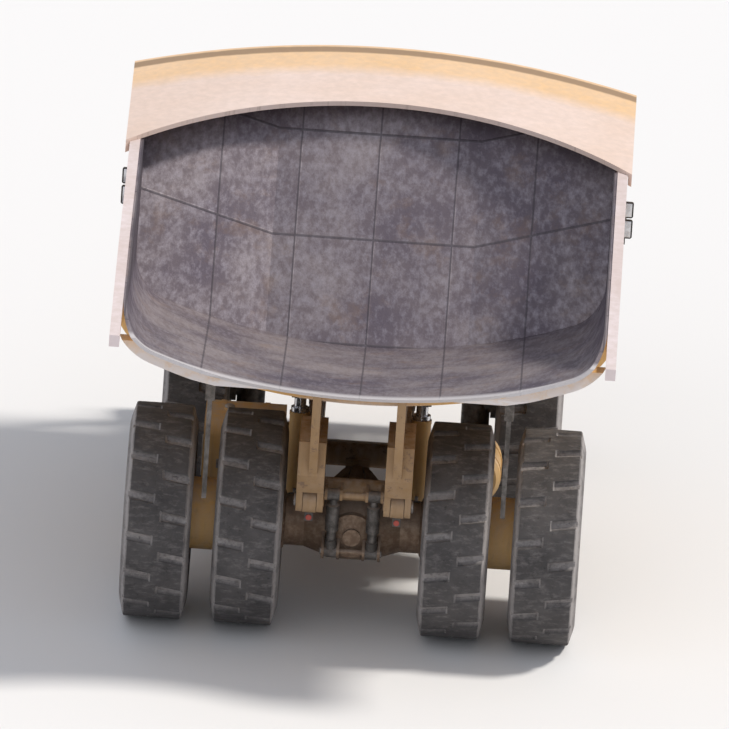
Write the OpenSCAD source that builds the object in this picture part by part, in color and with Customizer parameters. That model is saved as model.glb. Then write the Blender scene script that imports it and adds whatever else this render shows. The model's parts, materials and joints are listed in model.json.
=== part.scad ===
// Mining dump truck, rigid frame, two axles. Millimetres.
// +Y is the driving direction, +X the truck's right side, +Z up.
// The origin lies on the ground below the middle of the overall length.

/* [Overall] */
// Reach of the dump body's tail behind the rear axle
tail_reach = 3200; // [3100:10:3300]
// Reach of the bumper ahead of the rear axle
front_reach = 9350; // [9350:10:9600]
// Distance between the axles
wheelbase = 6100; // [6060:10:6140]

/* [Wheels] */
// Outside diameter of a tyre
tyre_d = 3590; // [3560:2:3600]
// Width of a tyre
tyre_w = 1130; // [1100:2:1140]
// Diameter of the bead seat
rim_d = 1480; // [1440:2:1520]
// Middle of a front tyre from the centre line
front_track_half = 2805; // [2800:1:2850]
// Middle of an outer rear tyre from the centre line
outer_rear_x = 3235; // [3220:1:3250]
// Middle of an inner rear tyre from the centre line
inner_rear_x = 1723; // [1715:1:1730]
// Lugs round each shoulder of a tyre
lug_count = 16; // [16:4:20]
// Depth of the grooves between the lugs
lug_depth = 95; // [70:5:110]

/* [Dump body] */
// Half of the inside width
bed_half = 3950; // [3900:10:4000]
// Thickness of the floor and sides
bed_wall = 60; // [50:1:80]
// Height of the tail lip at the centre line
tail_z = 5200; // [5160:10:5240]
// Height of the floor's front end
toe_z = 3600; // [3580:10:3640]
// Foot of the headboard's side panels ahead of the rear axle
toe_y = 3320; // [3280:10:3360]
// Top of the headboard's side panels ahead of the rear axle
rim_y = 6320; // [6280:10:6360]
// Canopy height at the centre line
rim_z = 6900; // [6880:10:6950]
// Top of the side walls at the headboard
wall_front_z = 6480; // [6440:10:6500]
// Top of the side walls over the rear axle
wall_mid_z = 6430; // [6380:10:6450]
// Top of the side walls at the tail
wall_tail_z = 6050; // [6000:10:6100]
// Curve of the floor across the body
floor_r = 10000; // [9000:100:12000]
// Curve from the floor up to the side walls
corner_r = 800; // [700:10:900]
// Depth of the ribs outside the walls
rib_d = 170; // [140:5:180]
// Front edge of the canopy ahead of the rear axle
canopy_y = 9100; // [9050:10:9150]
// Half of the canopy's width
canopy_half = 4250; // [4200:10:4300]

/* [Frame and hinges] */
// Inside face of a frame rail
rail_in = 620; // [600:5:640]
// Outside face of a frame rail
rail_out = 840; // [820:5:850]
// Top of the rear frame
rail_top = 2800; // [2780:5:2820]
// Body hinge behind the rear axle
hinge_back = 1150; // [1130:5:1170]
// Height of the body hinge
hinge_z = 2600; // [2590:5:2610]
// Radius of the body hinge pins
hinge_pin_r = 90; // [80:1:100]
// Kingpin from the centre line
king_x = 1900; // [1890:5:1910]

/* [Deck and cab] */
// Top of the deck
deck_z = 4150; // [4120:5:4180]
// Height of the cab above the deck
cab_h = 1800; // [1750:10:1850]

/* [Fits] */
// Gap between pieces that rest on each other
seat = 0.3; // [0.2:0.1:0.5]
// Gap between curved pieces that rest on each other
rest = 1; // [0.8:0.1:1.5]
// Play of a pin in its bore, on the radius
play = 0.05; // [0.02:0.01:0.1]

/* [Hidden] */
$fn = 96;
rear_y = (tail_reach - front_reach) / 2;
tyre_r = tyre_d / 2;
rim_r = rim_d / 2;
front_dy = wheelbase;
nose_y = front_reach - 370;
// Rails drop ahead of the deck's rear legs, and the front axle's towers stand before both
rail_bend = front_dy - 1400;
rail_fall = front_dy - 200;
leg_back = front_dy - 900;
leg_front = front_dy - 650;
// Dump body: slopes, curves and plate thicknesses
slope = atan((tail_z - toe_z) / (tail_reach + toe_y));
board_a = atan((rim_z - toe_z) / (rim_y - toe_y));
corner_x = bed_half - corner_r;
corner_z = floor_r - sqrt(pow(floor_r - corner_r, 2) - pow(corner_x, 2));
fine_fn = 256;
arc_step = 360 / fine_fn;
board_t = 70;
board_bend_x = 1700;
board_bend = 450;
board_fall = board_bend / (bed_half + bed_wall - board_bend_x);
canopy_t = 80;
canopy_back = rim_y + 80;
arch_r = canopy_half / sin(7 * arc_step);
bow_r = canopy_half / sin(10 * arc_step);
back_bow_r = canopy_half / sin(30 * arc_step);
rib_w = 200;
rib_s = [120, 1400, 2680, 3960, 5240, 6250];
// Hoist cylinders: eyes in side view
hoist_x = 1020;
hoist_low = [2000, 1200];
hoist_up = [2200, 3250];
hoist_len = norm(hoist_up - hoist_low);
hoist_a = atan((hoist_up[0] - hoist_low[0]) / (hoist_up[1] - hoist_low[1]));
// Rear suspension: eyes in side view
strut_x = 340;
strut_low = [-740, 1560];
strut_up = [-900, 2640];
strut_len = norm(strut_up - strut_low);
strut_a = -atan2(strut_up[0] - strut_low[0], strut_up[1] - strut_low[1]);
nose_z = 1860;
// Deck, cab and nose
deck_t = 70;
deck_back = 5000;
deck_half = 3900;
deck_front = nose_y - 330;
landing_half = 1380;
bumper_z = 1590;
bumper_half = 3200;
grille_half = 1250;
stair_foot_x = 2900;
stair_n = 9;
cab_x0 = -2900;
cab_x1 = -1150;
cab_y0 = 6480;
cab_y1 = 8150;
cab_wall = 80;
cab_top = deck_z + cab_h;
screen_lean = 160;
door_y0 = cab_y0 + 256;
door_y1 = cab_y0 + 1144;
door_pin = [cab_x0 - 26, door_y1 + 3];
door_pin_z = [deck_z + 350, deck_z + 1350];
lamp_x = [2150, 2400, 2650];

// Colours
yellow = "#c98a3c";
bare = "#7d7882";
dark = "#4a4b4c";
grey = "#6d6f70";
rubber = "#2b2b2c";
shiny = "#d2d5d8";
tinted = "#20262b";

// Everything is drawn from the rear axle and moved once
module truck() translate([0, rear_y, 0]) children();

// A block between two corners
module box(a, b) translate(a) cube(b - a);

// A rod along X, and one along Y
module bar_x(x0, x1, y, z, r) translate([x0, y, z]) rotate([0, 90, 0]) cylinder(h = x1 - x0, r = r);
module bar_y(y0, y1, x, z, r) translate([x, y1, z]) rotate([90, 0, 0]) cylinder(h = y1 - y0, r = r);

// A plate drawn in side view from x0 to x1, and one drawn from behind from y0 to y1
module side(x0, x1) translate([x0, 0, 0]) rotate([90, 0, 90]) linear_extrude(x1 - x0) children();
module across(y0, y1) translate([0, y1, 0]) rotate([90, 0, 0]) linear_extrude(y1 - y0) children();

// A turned piece about X: radius, place along X
module turned(n = $fn) rotate([0, 90, 0]) rotate_extrude($fn = n) children();

module both() {
    children();
    mirror([1, 0, 0]) children();
}

module round_box2d(a, b, r) {
    translate([a[0] + r, a[1]]) square([b[0] - a[0] - 2 * r, b[1] - a[1]]);
    translate([a[0], a[1] + r]) square([b[0] - a[0], b[1] - a[1] - 2 * r]);
    for (x = [a[0] + r, b[0] - r], y = [a[1] + r, b[1] - r]) translate([x, y]) circle(r, $fn = 32);
}

// Cross-section of the dump body, grown outward by o
module trough2d(o, tall = 6000) {
    xt = corner_x * (floor_r + o) / (floor_r - corner_r);
    intersection() {
        translate([0, floor_r]) circle(floor_r + o, $fn = fine_fn);
        translate([-xt, -o - 1]) square([2 * xt, corner_z + o + 1]);
    }
    for (s = [-1, 1]) translate([s * corner_x, corner_z]) circle(corner_r + o);
    translate([-bed_half - o, corner_z]) square([2 * (bed_half + o), tall]);
}

// Drawn across the floor's slope, from s0 to s1 ahead of the tail lip
module trough(s0, s1)
    translate([0, -tail_reach, tail_z]) rotate([-slope, 0, 0]) translate([0, s1, 0])
        rotate([90, 0, 0]) linear_extrude(s1 - s0) children();

// Drawn square to the headboard, from l0 to l1 above the toe
module board(l0, l1)
    translate([0, toe_y, toe_z]) rotate([-(90 - board_a), 0, 0]) translate([0, 0, l0])
        linear_extrude(l1 - l0) children();

// Three panels of the headboard with the load space behind them, moved forward by o
module board_area(o) polygon([
    [-5000, -9000], [-5000, o + board_bend - (5000 - board_bend_x) * board_fall],
    [-board_bend_x, o + board_bend], [board_bend_x, o + board_bend],
    [5000, o + board_bend - (5000 - board_bend_x) * board_fall], [5000, -9000]
]);

// Outline of the side walls in side view, lowered by d
module wall_side(d) polygon([
    [-tail_reach, 3000], [-tail_reach, wall_tail_z - d], [0, wall_mid_z - d],
    [rim_y, wall_front_z - d + 10], [rim_y, 3000]
]);

// Canopy in plan, and the arch it is cut from, down to a depth under its top
module canopy_plan() difference() {
    translate([0, canopy_y - bow_r]) circle(bow_r, $fn = fine_fn);
    translate([0, canopy_back - back_bow_r]) circle(back_bow_r, $fn = fine_fn);
}

module arch(depth) intersection() {
    across(4000, 12000) intersection() {
        difference() {
            translate([0, rim_z - arch_r]) circle(arch_r, $fn = fine_fn);
            translate([0, rim_z - arch_r]) circle(arch_r - depth, $fn = fine_fn);
        }
        translate([-canopy_half, 4000]) square([2 * canopy_half, 4000]);
    }
    linear_extrude(9000) children();
}

// Tyre on its own axis, outer face toward +X
module tyre() difference() {
    turned(2 * lug_count) polygon([
        [rim_r, -500], [1450, -tyre_w / 2], [tyre_r, 90 - tyre_w / 2],
        [tyre_r, tyre_w / 2 - 90], [1450, tyre_w / 2], [rim_r, 500]
    ]);
    for (i = [0:lug_count - 1], s = [-1, 1]) rotate([(i + 0.5 + s / 4) * 360 / lug_count, 0, 0])
        translate([s * 330, 0, tyre_r - lug_depth]) rotate([0, 0, 9])
            translate([-290, -90, 0]) cube([580, 180, 300]);
}

rim_o = rim_r - seat;
flange_in = tyre_w / 2 - 52;
twin_dx = inner_rear_x - outer_rear_x;

// Bead seats, flanges and lock ring of one rim: radius, place along X
module rim_barrel() polygon([
    [rim_o - 50, -flange_in - 32], [rim_o + 60, -flange_in - 32], [rim_o + 60, -flange_in],
    [rim_o, -flange_in], [rim_o, flange_in], [rim_o + 60, flange_in], [rim_o + 60, flange_in + 32],
    [rim_o - 20, flange_in + 32], [rim_o - 50, flange_in + 10], [rim_o - 50, 300], [rim_o - 80, 260],
    [rim_o - 80, -260], [rim_o - 50, -300]
]);

// Front wheel, outer face toward +X, centred on its spindle
module front_rim() difference() {
    union() {
        turned() {
            rim_barrel();
            polygon([
                [0, -380], [390, -380], [390, -60], [rim_o - 79, 150], [rim_o - 79, 215], [430, 60],
                [340, 130], [340, 230], [250, 260], [250, 330], [220, 360], [0, 360]
            ]);
        }
        for (i = [0:11]) rotate([i * 30, 0, 0]) side(-20, 20) translate([330, -20]) square([60, 40]);
        for (i = [0:11]) rotate([i * 30, 0, 0]) translate([60, -20, 330]) cube([120, 40, 250]);
    }
    bar_x(-381, 250, 0, 0, 200 + play);
}

// Rear wheels, outer face toward +X, centred on the outer tyre
module rear_rims() difference() {
    turned() {
        rim_barrel();
        translate([0, twin_dx]) rim_barrel();
        polygon([
            [0, twin_dx - 250], [560, twin_dx - 250], [560, twin_dx - 120], [rim_o - 79, twin_dx - 80],
            [rim_o - 79, twin_dx + 40], [600, twin_dx + 90], [600, -90], [rim_o - 79, -40],
            [rim_o - 79, 60], [600, 110], [560, 230], [470, 250], [470, 330], [430, 370], [230, 380],
            [230, 430], [200, 450], [0, 450]
        ]);
    }
    bar_x(twin_dx - 251, 200, 0, 0, 260 + play);
}

module at_front() translate([front_track_half, front_dy, tyre_r]) children();
module at_rear() translate([outer_rear_x, 0, tyre_r]) children();

// Kingpin barrel, spindle and steering arm of the right front wheel
module knuckle() difference() {
    union() {
        translate([king_x, front_dy, tyre_r - 640]) cylinder(h = 900, r = 240);
        bar_x(king_x, front_track_half + 240, front_dy, tyre_r, 200);
        bar_x(king_x + 250, front_track_half - 385, front_dy, tyre_r, 290);
        translate([0, 0, tyre_r - 600]) linear_extrude(130) polygon([
            [king_x - 225, front_dy - 60], [king_x - 110, front_dy - 700],
            [king_x + 110, front_dy - 700], [king_x + 225, front_dy - 60]
        ]);
        translate([king_x, front_dy - 700, tyre_r - 600]) cylinder(h = 130, r = 130);
    }
    translate([king_x, front_dy, tyre_r - 641]) cylinder(h = 902, r = 140 + play);
    translate([king_x, front_dy - 700, tyre_r - 700]) cylinder(h = 300, r = 50 + play);
}

// Underside of the rails between the hinge and the axle
function rail_under(y) = hinge_z - 200 - (y + hinge_back) * (hinge_z - 2550) / (hinge_back - 700);

// Frame rails drawn in side view, with the cross tubes and arms that join them
module frame() truck() color(yellow) {
    both() {
        side(rail_in, rail_out) {
            polygon([
                [-hinge_back, hinge_z - 200], [-700, 2350], [1300, 2350], [2100, 1800],
                [nose_y - seat, 1620], [nose_y - seat, 2220], [rail_fall, 2350], [rail_bend, rail_top],
                [-hinge_back, rail_top]
            ]);
            translate([-hinge_back, hinge_z]) circle(200);
            polygon([
                [front_dy - 700, 2300], [front_dy - 240, 3350], [front_dy + 240, 3350],
                [front_dy + 600, 2250]
            ]);
        }
        bar_x(rail_in - 130, rail_out + 130, -hinge_back, hinge_z, hinge_pin_r);
        // foot of the hoist cylinder
        side(rail_in + 40, rail_out) {
            polygon([
                [1750, 2100], hoist_low - [130, 0], hoist_low + [130, 0], [2450, 1900]
            ]);
            translate(hoist_low) circle(130);
        }
        bar_x(rail_out - 1, hoist_x + 170, hoist_low[0], hoist_low[1], 80);
        // arm that carries the front suspension cylinder
        across(front_dy - 240, front_dy + 240) polygon([
            [rail_out - 1, 1900], [1250, 2050], [1640, 2500], [king_x - 100, 2500],
            [king_x - 100, 3200], [1640, 3200], [rail_out - 1, 3350]
        ]);
        // ears for the rear suspension
        for (x = [strut_x - 150, strut_x + 105]) side(x, x + 45) {
            polygon([[-480, 2440], [-480, 2760], strut_up + [-40, 97], strut_up + [-50, -92]]);
            translate(strut_up) circle(105);
        }
    }
    bar_x(-rail_in - 1, rail_in + 1, -520, 2600, 185);
    bar_x(-rail_in - 1, rail_in + 1, 2500, 2050, 200);
    bar_x(-strut_x - 150, strut_x + 150, strut_up[0], strut_up[1], 55);
    box([-200, 2230, nose_z - 160], [200, 2420, 2060]);
    box([-rail_in - 1, front_dy - 240, 1750], [rail_in + 1, front_dy + 240, 2330]);
    box([-rail_in - 1, nose_y - 260, 1640], [rail_in + 1, nose_y - seat, 1830]);
}

module engine_block() truck() color(dark)
    box([-rail_in + seat, front_dy + 320, 1850], [rail_in - seat, nose_y - 380, 3750]);

// Radiator housing with its louvred grille
module radiator() truck() color(yellow) {
    difference() {
        box([-grille_half, nose_y, bumper_z + seat], [grille_half, nose_y + 290, deck_z - deck_t - seat]);
        both() box([30, nose_y + 190, bumper_z + 200], [grille_half - 110, nose_y + 291, deck_z - 190]);
    }
    both() for (i = [0:19]) side(29, grille_half - 109) translate([nose_y, bumper_z + 225 + i * 105])
        polygon([[195, 35], [255, 0], [255, 15], [195, 50]]);
}

module front_bumper() truck() color(yellow) {
    difference() {
        side(-bumper_half, bumper_half) polygon([
            [nose_y, 1180], [nose_y + 200, 1050], [front_reach - 60, 1050], [front_reach, 1120],
            [front_reach, bumper_z - 30], [front_reach - 30, bumper_z], [nose_y, bumper_z]
        ]);
        both() for (x = lamp_x) bar_y(front_reach - 60, front_reach + 1, x, 1350, 100 + seat);
    }
    both() difference() {
        side(400, 480) polygon([
            [nose_y + 90, 1150], [nose_y + 90, 940], [nose_y + 130, 880], [nose_y + 230, 880],
            [nose_y + 270, 940], [nose_y + 270, 1150]
        ]);
        bar_x(399, 481, nose_y + 180, 970, 35);
    }
}

// Deck plate with its landing over the grille, edge beams and posts
module deck() truck() color(grey) {
    translate([0, 0, deck_z - deck_t]) linear_extrude(deck_t) polygon([
        [-deck_half, deck_back], [deck_half, deck_back], [deck_half, deck_front],
        [landing_half, deck_front], [landing_half, nose_y + 320], [-landing_half, nose_y + 320],
        [-landing_half, deck_front], [-deck_half, deck_front]
    ]);
    both() {
        difference() {
            side(rail_in, rail_out) polygon([
                [leg_back, 2300], [leg_back, 3700], [deck_back - 100, deck_z - deck_t + 1],
                [leg_front + 300, deck_z - deck_t + 1], [leg_front, 3700], [leg_front, 2300]
            ]);
            side(rail_in - 1, rail_out + 1) polygon([
                [rail_bend, rail_top + seat], [rail_fall, 2350 + seat], [rail_fall, 2000], [rail_bend, 2000]
            ]);
        }
        // front post, carried on the back of the bumper
        side(bumper_half - 160, bumper_half - 20) polygon([
            [deck_front, deck_z - deck_t + 1], [deck_front, 1300], [nose_y - seat, 1200],
            [nose_y - seat, 1500], [deck_front + 150, 1600], [deck_front + 150, 3700],
            [deck_front + 20, 3950], [deck_front + 20, deck_z - deck_t + 1]
        ]);
        for (x = [rail_out + 300, 2700, deck_half - 60]) box([x, deck_back + 60, deck_z - 210],
            [x + 50, deck_front - 20, deck_z - deck_t + 1]);
        for (y = [deck_back + 40, 6700, deck_front - 60]) box([rail_out + 300, y, deck_z - 190],
            [deck_half - 20, y + 40, deck_z - deck_t + 1]);
    }
}

// Two stairs that climb inward across the nose, and the steps below the bumper
module stairs() truck() color(grey) both() {
    head_x = landing_half + seat;
    rise = (deck_z - bumper_z) / (stair_n + 1);
    run = (stair_foot_x - head_x) / (stair_n + 1);
    y0 = deck_front + 12;
    y1 = nose_y + 350;
    box([2300, y0, bumper_z + seat], [stair_foot_x + 60, y1, bumper_z + 30]);
    for (y = [y0, y1 - 20]) across(y, y + 20) polygon([
        [stair_foot_x, bumper_z + 20], [stair_foot_x - 200, bumper_z + 20], [head_x, deck_z - 340],
        [head_x, deck_z]
    ]);
    for (i = [1:stair_n]) box([stair_foot_x - i * run - 200, y0 + 10, bumper_z + i * rise],
        [stair_foot_x - i * run + 20, y1 - 10, bumper_z + i * rise + 30]);
    for (x = [2480, 2940]) box([x, nose_y + 230, 450], [x + 40, nose_y + 280, 1050 - seat]);
    for (z = [480, 660, 840]) box([2500, nose_y + 225, z], [2960, nose_y + 295, z + 30]);
}

// Posts of the railing on the right: x, y
rail_posts = [
    [deck_half - 40, 5900], [deck_half - 40, 6800], [deck_half - 40, 7700], [deck_half - 40, 8600],
    [3180, 8600], [2330, 8600], [1480, 8600], [1340, 9260], [450, 9260]
];

module handrails() truck() color(yellow) {
    both() for (p = rail_posts) translate([p[0], p[1], deck_z + seat]) cylinder(h = 1050, r = 28, $fn = 32);
    for (z = [550, 1050]) {
        both() {
            bar_y(5880, 8620, deck_half - 40, deck_z + z, 20, $fn = 32);
            bar_x(1460, deck_half - 20, 8600, deck_z + z, 20, $fn = 32);
        }
        bar_x(-1360, 1360, 9260, deck_z + z, 20, $fn = 32);
    }
}

// Side outline of the cab, drawn in by d all round
module cab_side2d(d) polygon([
    [cab_y0 + d, deck_z + max(d, seat)], [cab_y1 - d, deck_z + max(d, seat)], [cab_y1 - d, deck_z + 700],
    [cab_y1 - screen_lean - d, cab_top - 90], [cab_y1 - (d > 0 ? screen_lean + 1 : 60) - d, cab_top - 60],
    [cab_y1 - (d > 0 ? screen_lean + 20 : 90) - d, cab_top - d], [cab_y0 + 60 + d, cab_top - d],
    [cab_y0 + d, cab_top - 60 - d]
]);

// Windows: the screen and the back pane from behind, the side panes in side view
module screen2d(g) round_box2d([cab_x0 + 130 + g, deck_z + 770 + g], [cab_x1 - 130 - g, cab_top - 180 - g], 60);
module back2d(g) round_box2d([cab_x0 + 250 + g, deck_z + 900 + g], [cab_x1 - 250 - g, cab_top - 330 - g], 50);
module right2d(g) polygon([
    [cab_y0 + 200 + g, deck_z + 850 + g], [cab_y1 - 150 - g, deck_z + 850 + g],
    [cab_y1 - 270 - g, cab_top - 260 - g], [cab_y0 + 200 + g, cab_top - 260 - g]
]);
module left2d(g) polygon([
    [cab_y0 + 1235 + g, deck_z + 850 + g], [cab_y1 - 150 - g, deck_z + 850 + g],
    [cab_y1 - 270 - g, cab_top - 260 - g], [cab_y0 + 1235 + g, cab_top - 260 - g]
]);

// Slab that follows the lean of the windscreen, from a to b behind its face
module screen_slab(a, b) side(cab_x0, cab_x1) polygon([
    [cab_y1 - a + 60, deck_z + 300], [cab_y1 - a, deck_z + 700], [cab_y1 - screen_lean - a, cab_top - 90],
    [cab_y1 - screen_lean - b, cab_top - 90], [cab_y1 - b, deck_z + 700], [cab_y1 - b + 60, deck_z + 300]
]);

module cab_shell() truck() color(yellow) {
    difference() {
        side(cab_x0, cab_x1) cab_side2d(0);
        side(cab_x0 + cab_wall, cab_x1 - cab_wall) cab_side2d(cab_wall);
        across(cab_y1 - 400, cab_y1 + 1) screen2d(0);
        across(cab_y0 - 1, cab_y0 + 200) back2d(0);
        side(cab_x1 - 200, cab_x1 + 1) right2d(0);
        side(cab_x0 - 1, cab_x0 + 200) {
            left2d(0);
            translate([cab_y0 + 250, deck_z + 100]) square([900, cab_h - 250]);
        }
    }
    for (z = door_pin_z) translate([door_pin[0], door_pin[1], z]) {
        translate([0, 0, -90]) cylinder(h = 180, r = 12);
        for (d = [-90, 60]) translate([0, 0, d]) {
            cylinder(h = 30, r = 24);
            translate([-20, 0, 0]) cube([47, 80, 30]);
        }
    }
}

module cab_glass() truck() color(tinted) {
    intersection() {
        screen_slab(30, 50);
        across(cab_y1 - 400, cab_y1 + 1) screen2d(seat);
    }
    across(cab_y0 + 30, cab_y0 + 50) back2d(seat);
    side(cab_x1 - 50, cab_x1 - 30) right2d(seat);
    side(cab_x0 + 30, cab_x0 + 50) left2d(seat);
}

// Seats in side view, console, steering column and wheel
module cab_interior() truck() color("#3a3c3e") {
    floor_z = deck_z + cab_wall + seat;
    for (x = [cab_x0 + 330, cab_x1 - 620]) {
        side(x + 100, x + 350) polygon([
            [cab_y0 + 500, floor_z], [cab_y0 + 900, floor_z], [cab_y0 + 850, floor_z + 310],
            [cab_y0 + 550, floor_z + 310]
        ]);
        side(x, x + 450) polygon([
            [cab_y0 + 470, floor_z + 300], [cab_y0 + 960, floor_z + 330], [cab_y0 + 990, floor_z + 420],
            [cab_y0 + 540, floor_z + 400], [cab_y0 + 430, floor_z + 1080], [cab_y0 + 330, floor_z + 1080],
            [cab_y0 + 420, floor_z + 330]
        ]);
        side(x + 110, x + 340) polygon([
            [cab_y0 + 440, floor_z + 1070], [cab_y0 + 415, floor_z + 1230], [cab_y0 + 335, floor_z + 1230],
            [cab_y0 + 330, floor_z + 1070]
        ]);
    }
    side(cab_x0 + 200, cab_x1 - 200) polygon([
        [cab_y1 - 320, floor_z], [cab_y1 - 100, floor_z], [cab_y1 - 100, floor_z + 610],
        [cab_y1 - 260, floor_z + 670], [cab_y1 - 350, floor_z + 560]
    ]);
    translate([cab_x0 + 555, cab_y1 - 300, floor_z + 500]) rotate([35, 0, 0]) {
        cylinder(h = 260, r = 35);
        translate([0, 0, 250]) rotate_extrude($fn = 48) translate([200, 0]) circle(16, $fn = 24);
        translate([-200, -18, 240]) cube([400, 36, 20]);
    }
}

module door() truck() color(yellow) {
    difference() {
        box([cab_x0, door_y0, deck_z + 106], [cab_x0 + 60, door_y1, cab_top - 156]);
        side(cab_x0 - 1, cab_x0 + 61)
            round_box2d([door_y0 + 100, deck_z + 800], [door_y1 - 100, cab_top - 260], 50);
    }
    for (z = door_pin_z) translate([door_pin[0], door_pin[1], z - 55]) difference() {
        union() {
            cylinder(h = 110, r = 24);
            translate([-10, -100, 0]) cube([37, 90, 110]);
        }
        translate([0, 0, -1]) cylinder(h = 112, r = 12 + play);
    }
}

module door_glass() truck() color(tinted) side(cab_x0 + 20, cab_x0 + 40)
    round_box2d([door_y0 + 100 + seat, deck_z + 800 + seat], [door_y1 - 100 - seat, cab_top - 260 - seat], 50);

module mirrors() truck() color("#202224") both() {
    box([deck_half + seat, 7900, deck_z - 60], [4220, 7940, deck_z - 20]);
    box([deck_half + 100, 7900, deck_z + 500], [4220, 7940, deck_z + 530]);
    box([deck_half + 100, 7900, deck_z - 60], [deck_half + 130, 7940, deck_z + 530]);
    box([4180, 7900, deck_z - 21], [4220, 7940, deck_z + 700]);
    across(7870, 7901) round_box2d([4070, deck_z + 60], [4330, deck_z + 400], 40);
    across(7870, 7901) round_box2d([4070, deck_z + 430], [4330, deck_z + 720], 40);
}

module lamps() truck() color("#d8d8d0") both() {
    for (x = lamp_x) translate([x, front_reach, 1350]) rotate([90, 0, 0])
        rotate_extrude() polygon([[0, -8], [70, -6], [100, 8], [100, 60 - seat], [0, 60 - seat]]);
    side(660, 800) polygon([
        [-1120, hinge_z - 380], [-1120, rail_under(-1120) - seat], [-980, rail_under(-980) - seat],
        [-980, hinge_z - 380]
    ]);
}

// Tank slung on the left rail, with two straps
module fuel_tank() truck() color(yellow) {
    side(-2600, -1250) round_box2d([2330, 1100], [3650, 2500], 260);
    for (x = [-2350, -1620]) side(x, x + 90) round_box2d([2318, 1088], [3662, 2512], 270);
    for (y = [2550, 3250]) box([-1251, y, 1900], [-rail_out - seat, y + 180, 2200]);
    translate([-2200, 3000, 2490]) cylinder(h = 70, r = 90);
}

module hydraulic_tank() truck() color(yellow) {
    translate([1900, 2330, 1800]) rotate([-90, 0, 0]) rotate_extrude() polygon([
        [0, 0], [300, 15], [430, 60], [500, 150], [500, 300], [512, 300], [512, 390], [500, 390],
        [500, 790], [512, 790], [512, 880], [500, 880], [500, 1030], [430, 1120], [300, 1165], [0, 1180]
    ]);
    for (y = [2630, 3120]) box([rail_out + seat, y, 1900], [1500, y + 90, 2200]);
    translate([1900, 2600, 2280]) cylinder(h = 70, r = 70);
}

// Canister with its inlet cap: radius, height
module air_cleaners() truck() color(yellow)
    for (x = [1600, 2350]) translate([x, 6450, deck_z + seat]) rotate_extrude() polygon([
        [0, 0], [300, 0], [300, 180], [312, 180], [312, 230], [300, 230], [300, 800], [210, 860],
        [210, 930], [330, 950], [330, 1010], [250, 1080], [0, 1100]
    ]);

// Cabinet with doors on its front and louvres on its outer side
module control_cabinet() truck() color(yellow) {
    difference() {
        side(1500, 3300) polygon([
            [6900, deck_z + seat], [8100, deck_z + seat], [8100, deck_z + 1380], [8020, deck_z + 1450],
            [6900, deck_z + 1450]
        ]);
        for (i = [0:2]) across(8085, 8101) round_box2d([1560 + i * 570, deck_z + 90],
            [2100 + i * 570, deck_z + 1330], 40);
        box([3240, 7000, deck_z + 200], [3301, 8000, deck_z + 1250]);
    }
    for (i = [0:2]) across(8084, 8096) round_box2d([1572 + i * 570, deck_z + 102],
        [2088 + i * 570, deck_z + 1318], 30);
    for (i = [0:9]) across(6999, 8001) translate([3240, deck_z + 240 + i * 100])
        polygon([[-1, 30], [50, 0], [50, 12], [-1, 42]]);
}

// Front suspension cylinders over the kingpins: radius, height
module front_struts() truck() color("#9a9c9e") both() {
    difference() {
        translate([king_x, front_dy, tyre_r]) rotate_extrude() polygon([
            [0, 270], [230, 270], [260, 300], [260, 380], [230, 400], [230, 1580], [262, 1600],
            [262, 1680], [200, 1770], [90, 1790], [0, 1790]
        ]);
        box([0, front_dy - 240 - seat, 2500 - seat], [king_x - 100 + seat, front_dy + 240 + seat, 3200 + seat]);
    }
    translate([king_x, front_dy, tyre_r - 700]) cylinder(h = 971, r = 140);
}

// Axle housing turned about the wheels' axis, with its nose and suspension ears
module rear_axle() truck() color("#6b5a45") {
    translate([0, 0, tyre_r]) turned() polygon([
        [0, -1233], [500, -1233], [500, -1150], [430, -1120], [430, -800], [560, -420], [600, -200],
        [600, 200], [560, 420], [430, 800], [430, 1120], [500, 1150], [500, 1233], [0, 1233]
    ]);
    both() {
        bar_x(1232, outer_rear_x + 190, 0, tyre_r, 260);
        for (x = [strut_x - 150, strut_x + 105]) side(x, x + 45) {
            polygon([[-300, 1250], strut_low + [-70, -75], strut_low + [-50, 90], [-300, 2000]]);
            translate(strut_low) circle(103);
        }
    }
    bar_x(-strut_x - 150, strut_x + 150, strut_low[0], strut_low[1], 50);
    bar_y(-690, 0, 0, tyre_r, 150);
    translate([0, 0, nose_z - 150]) linear_extrude(300) polygon([
        [-800, 250], [-240, 1900], [-170, 2050], [170, 2050], [240, 1900], [800, 250]
    ]);
    bar_y(2049, 2230 - seat, 0, nose_z, 120);
}

// Rear suspension cylinders between the eyes on the axle and the frame
module rear_struts() truck() color("#9a9c9e") both() {
    difference() {
        union() {
            bar_x(strut_x - 100, strut_x + 100, strut_low[0], strut_low[1], 100);
            bar_x(strut_x - 100, strut_x + 100, strut_up[0], strut_up[1], 100);
            translate([strut_x, strut_low[0], strut_low[1]]) rotate([strut_a, 0, 0]) rotate_extrude() polygon([
                [0, 80], [96, 80], [96, 230], [80, 230], [80, 420], [112, 420], [112, strut_len - 190],
                [70, strut_len - 170], [70, strut_len - 80], [0, strut_len - 80]
            ]);
        }
        bar_x(strut_x - 101, strut_x + 101, strut_low[0], strut_low[1], 50 + play);
        bar_x(strut_x - 101, strut_x + 101, strut_up[0], strut_up[1], 55 + play);
    }
}

module knuckle_left() truck() color(dark) mirror([1, 0, 0]) knuckle();
module knuckle_right() truck() color(dark) knuckle();

module tie_rod() truck() color(dark) {
    bar_x(-king_x + 40, king_x - 40, front_dy - 700, tyre_r - 680, 60);
    both() {
        translate([king_x, front_dy - 700, tyre_r - 740]) cylinder(h = 130, r = 110);
        translate([king_x, front_dy - 700, tyre_r - 740]) cylinder(h = 300, r = 50);
        bar_x(king_x - 420, king_x - 90, front_dy - 700, tyre_r - 680, 75);
    }
}

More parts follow.
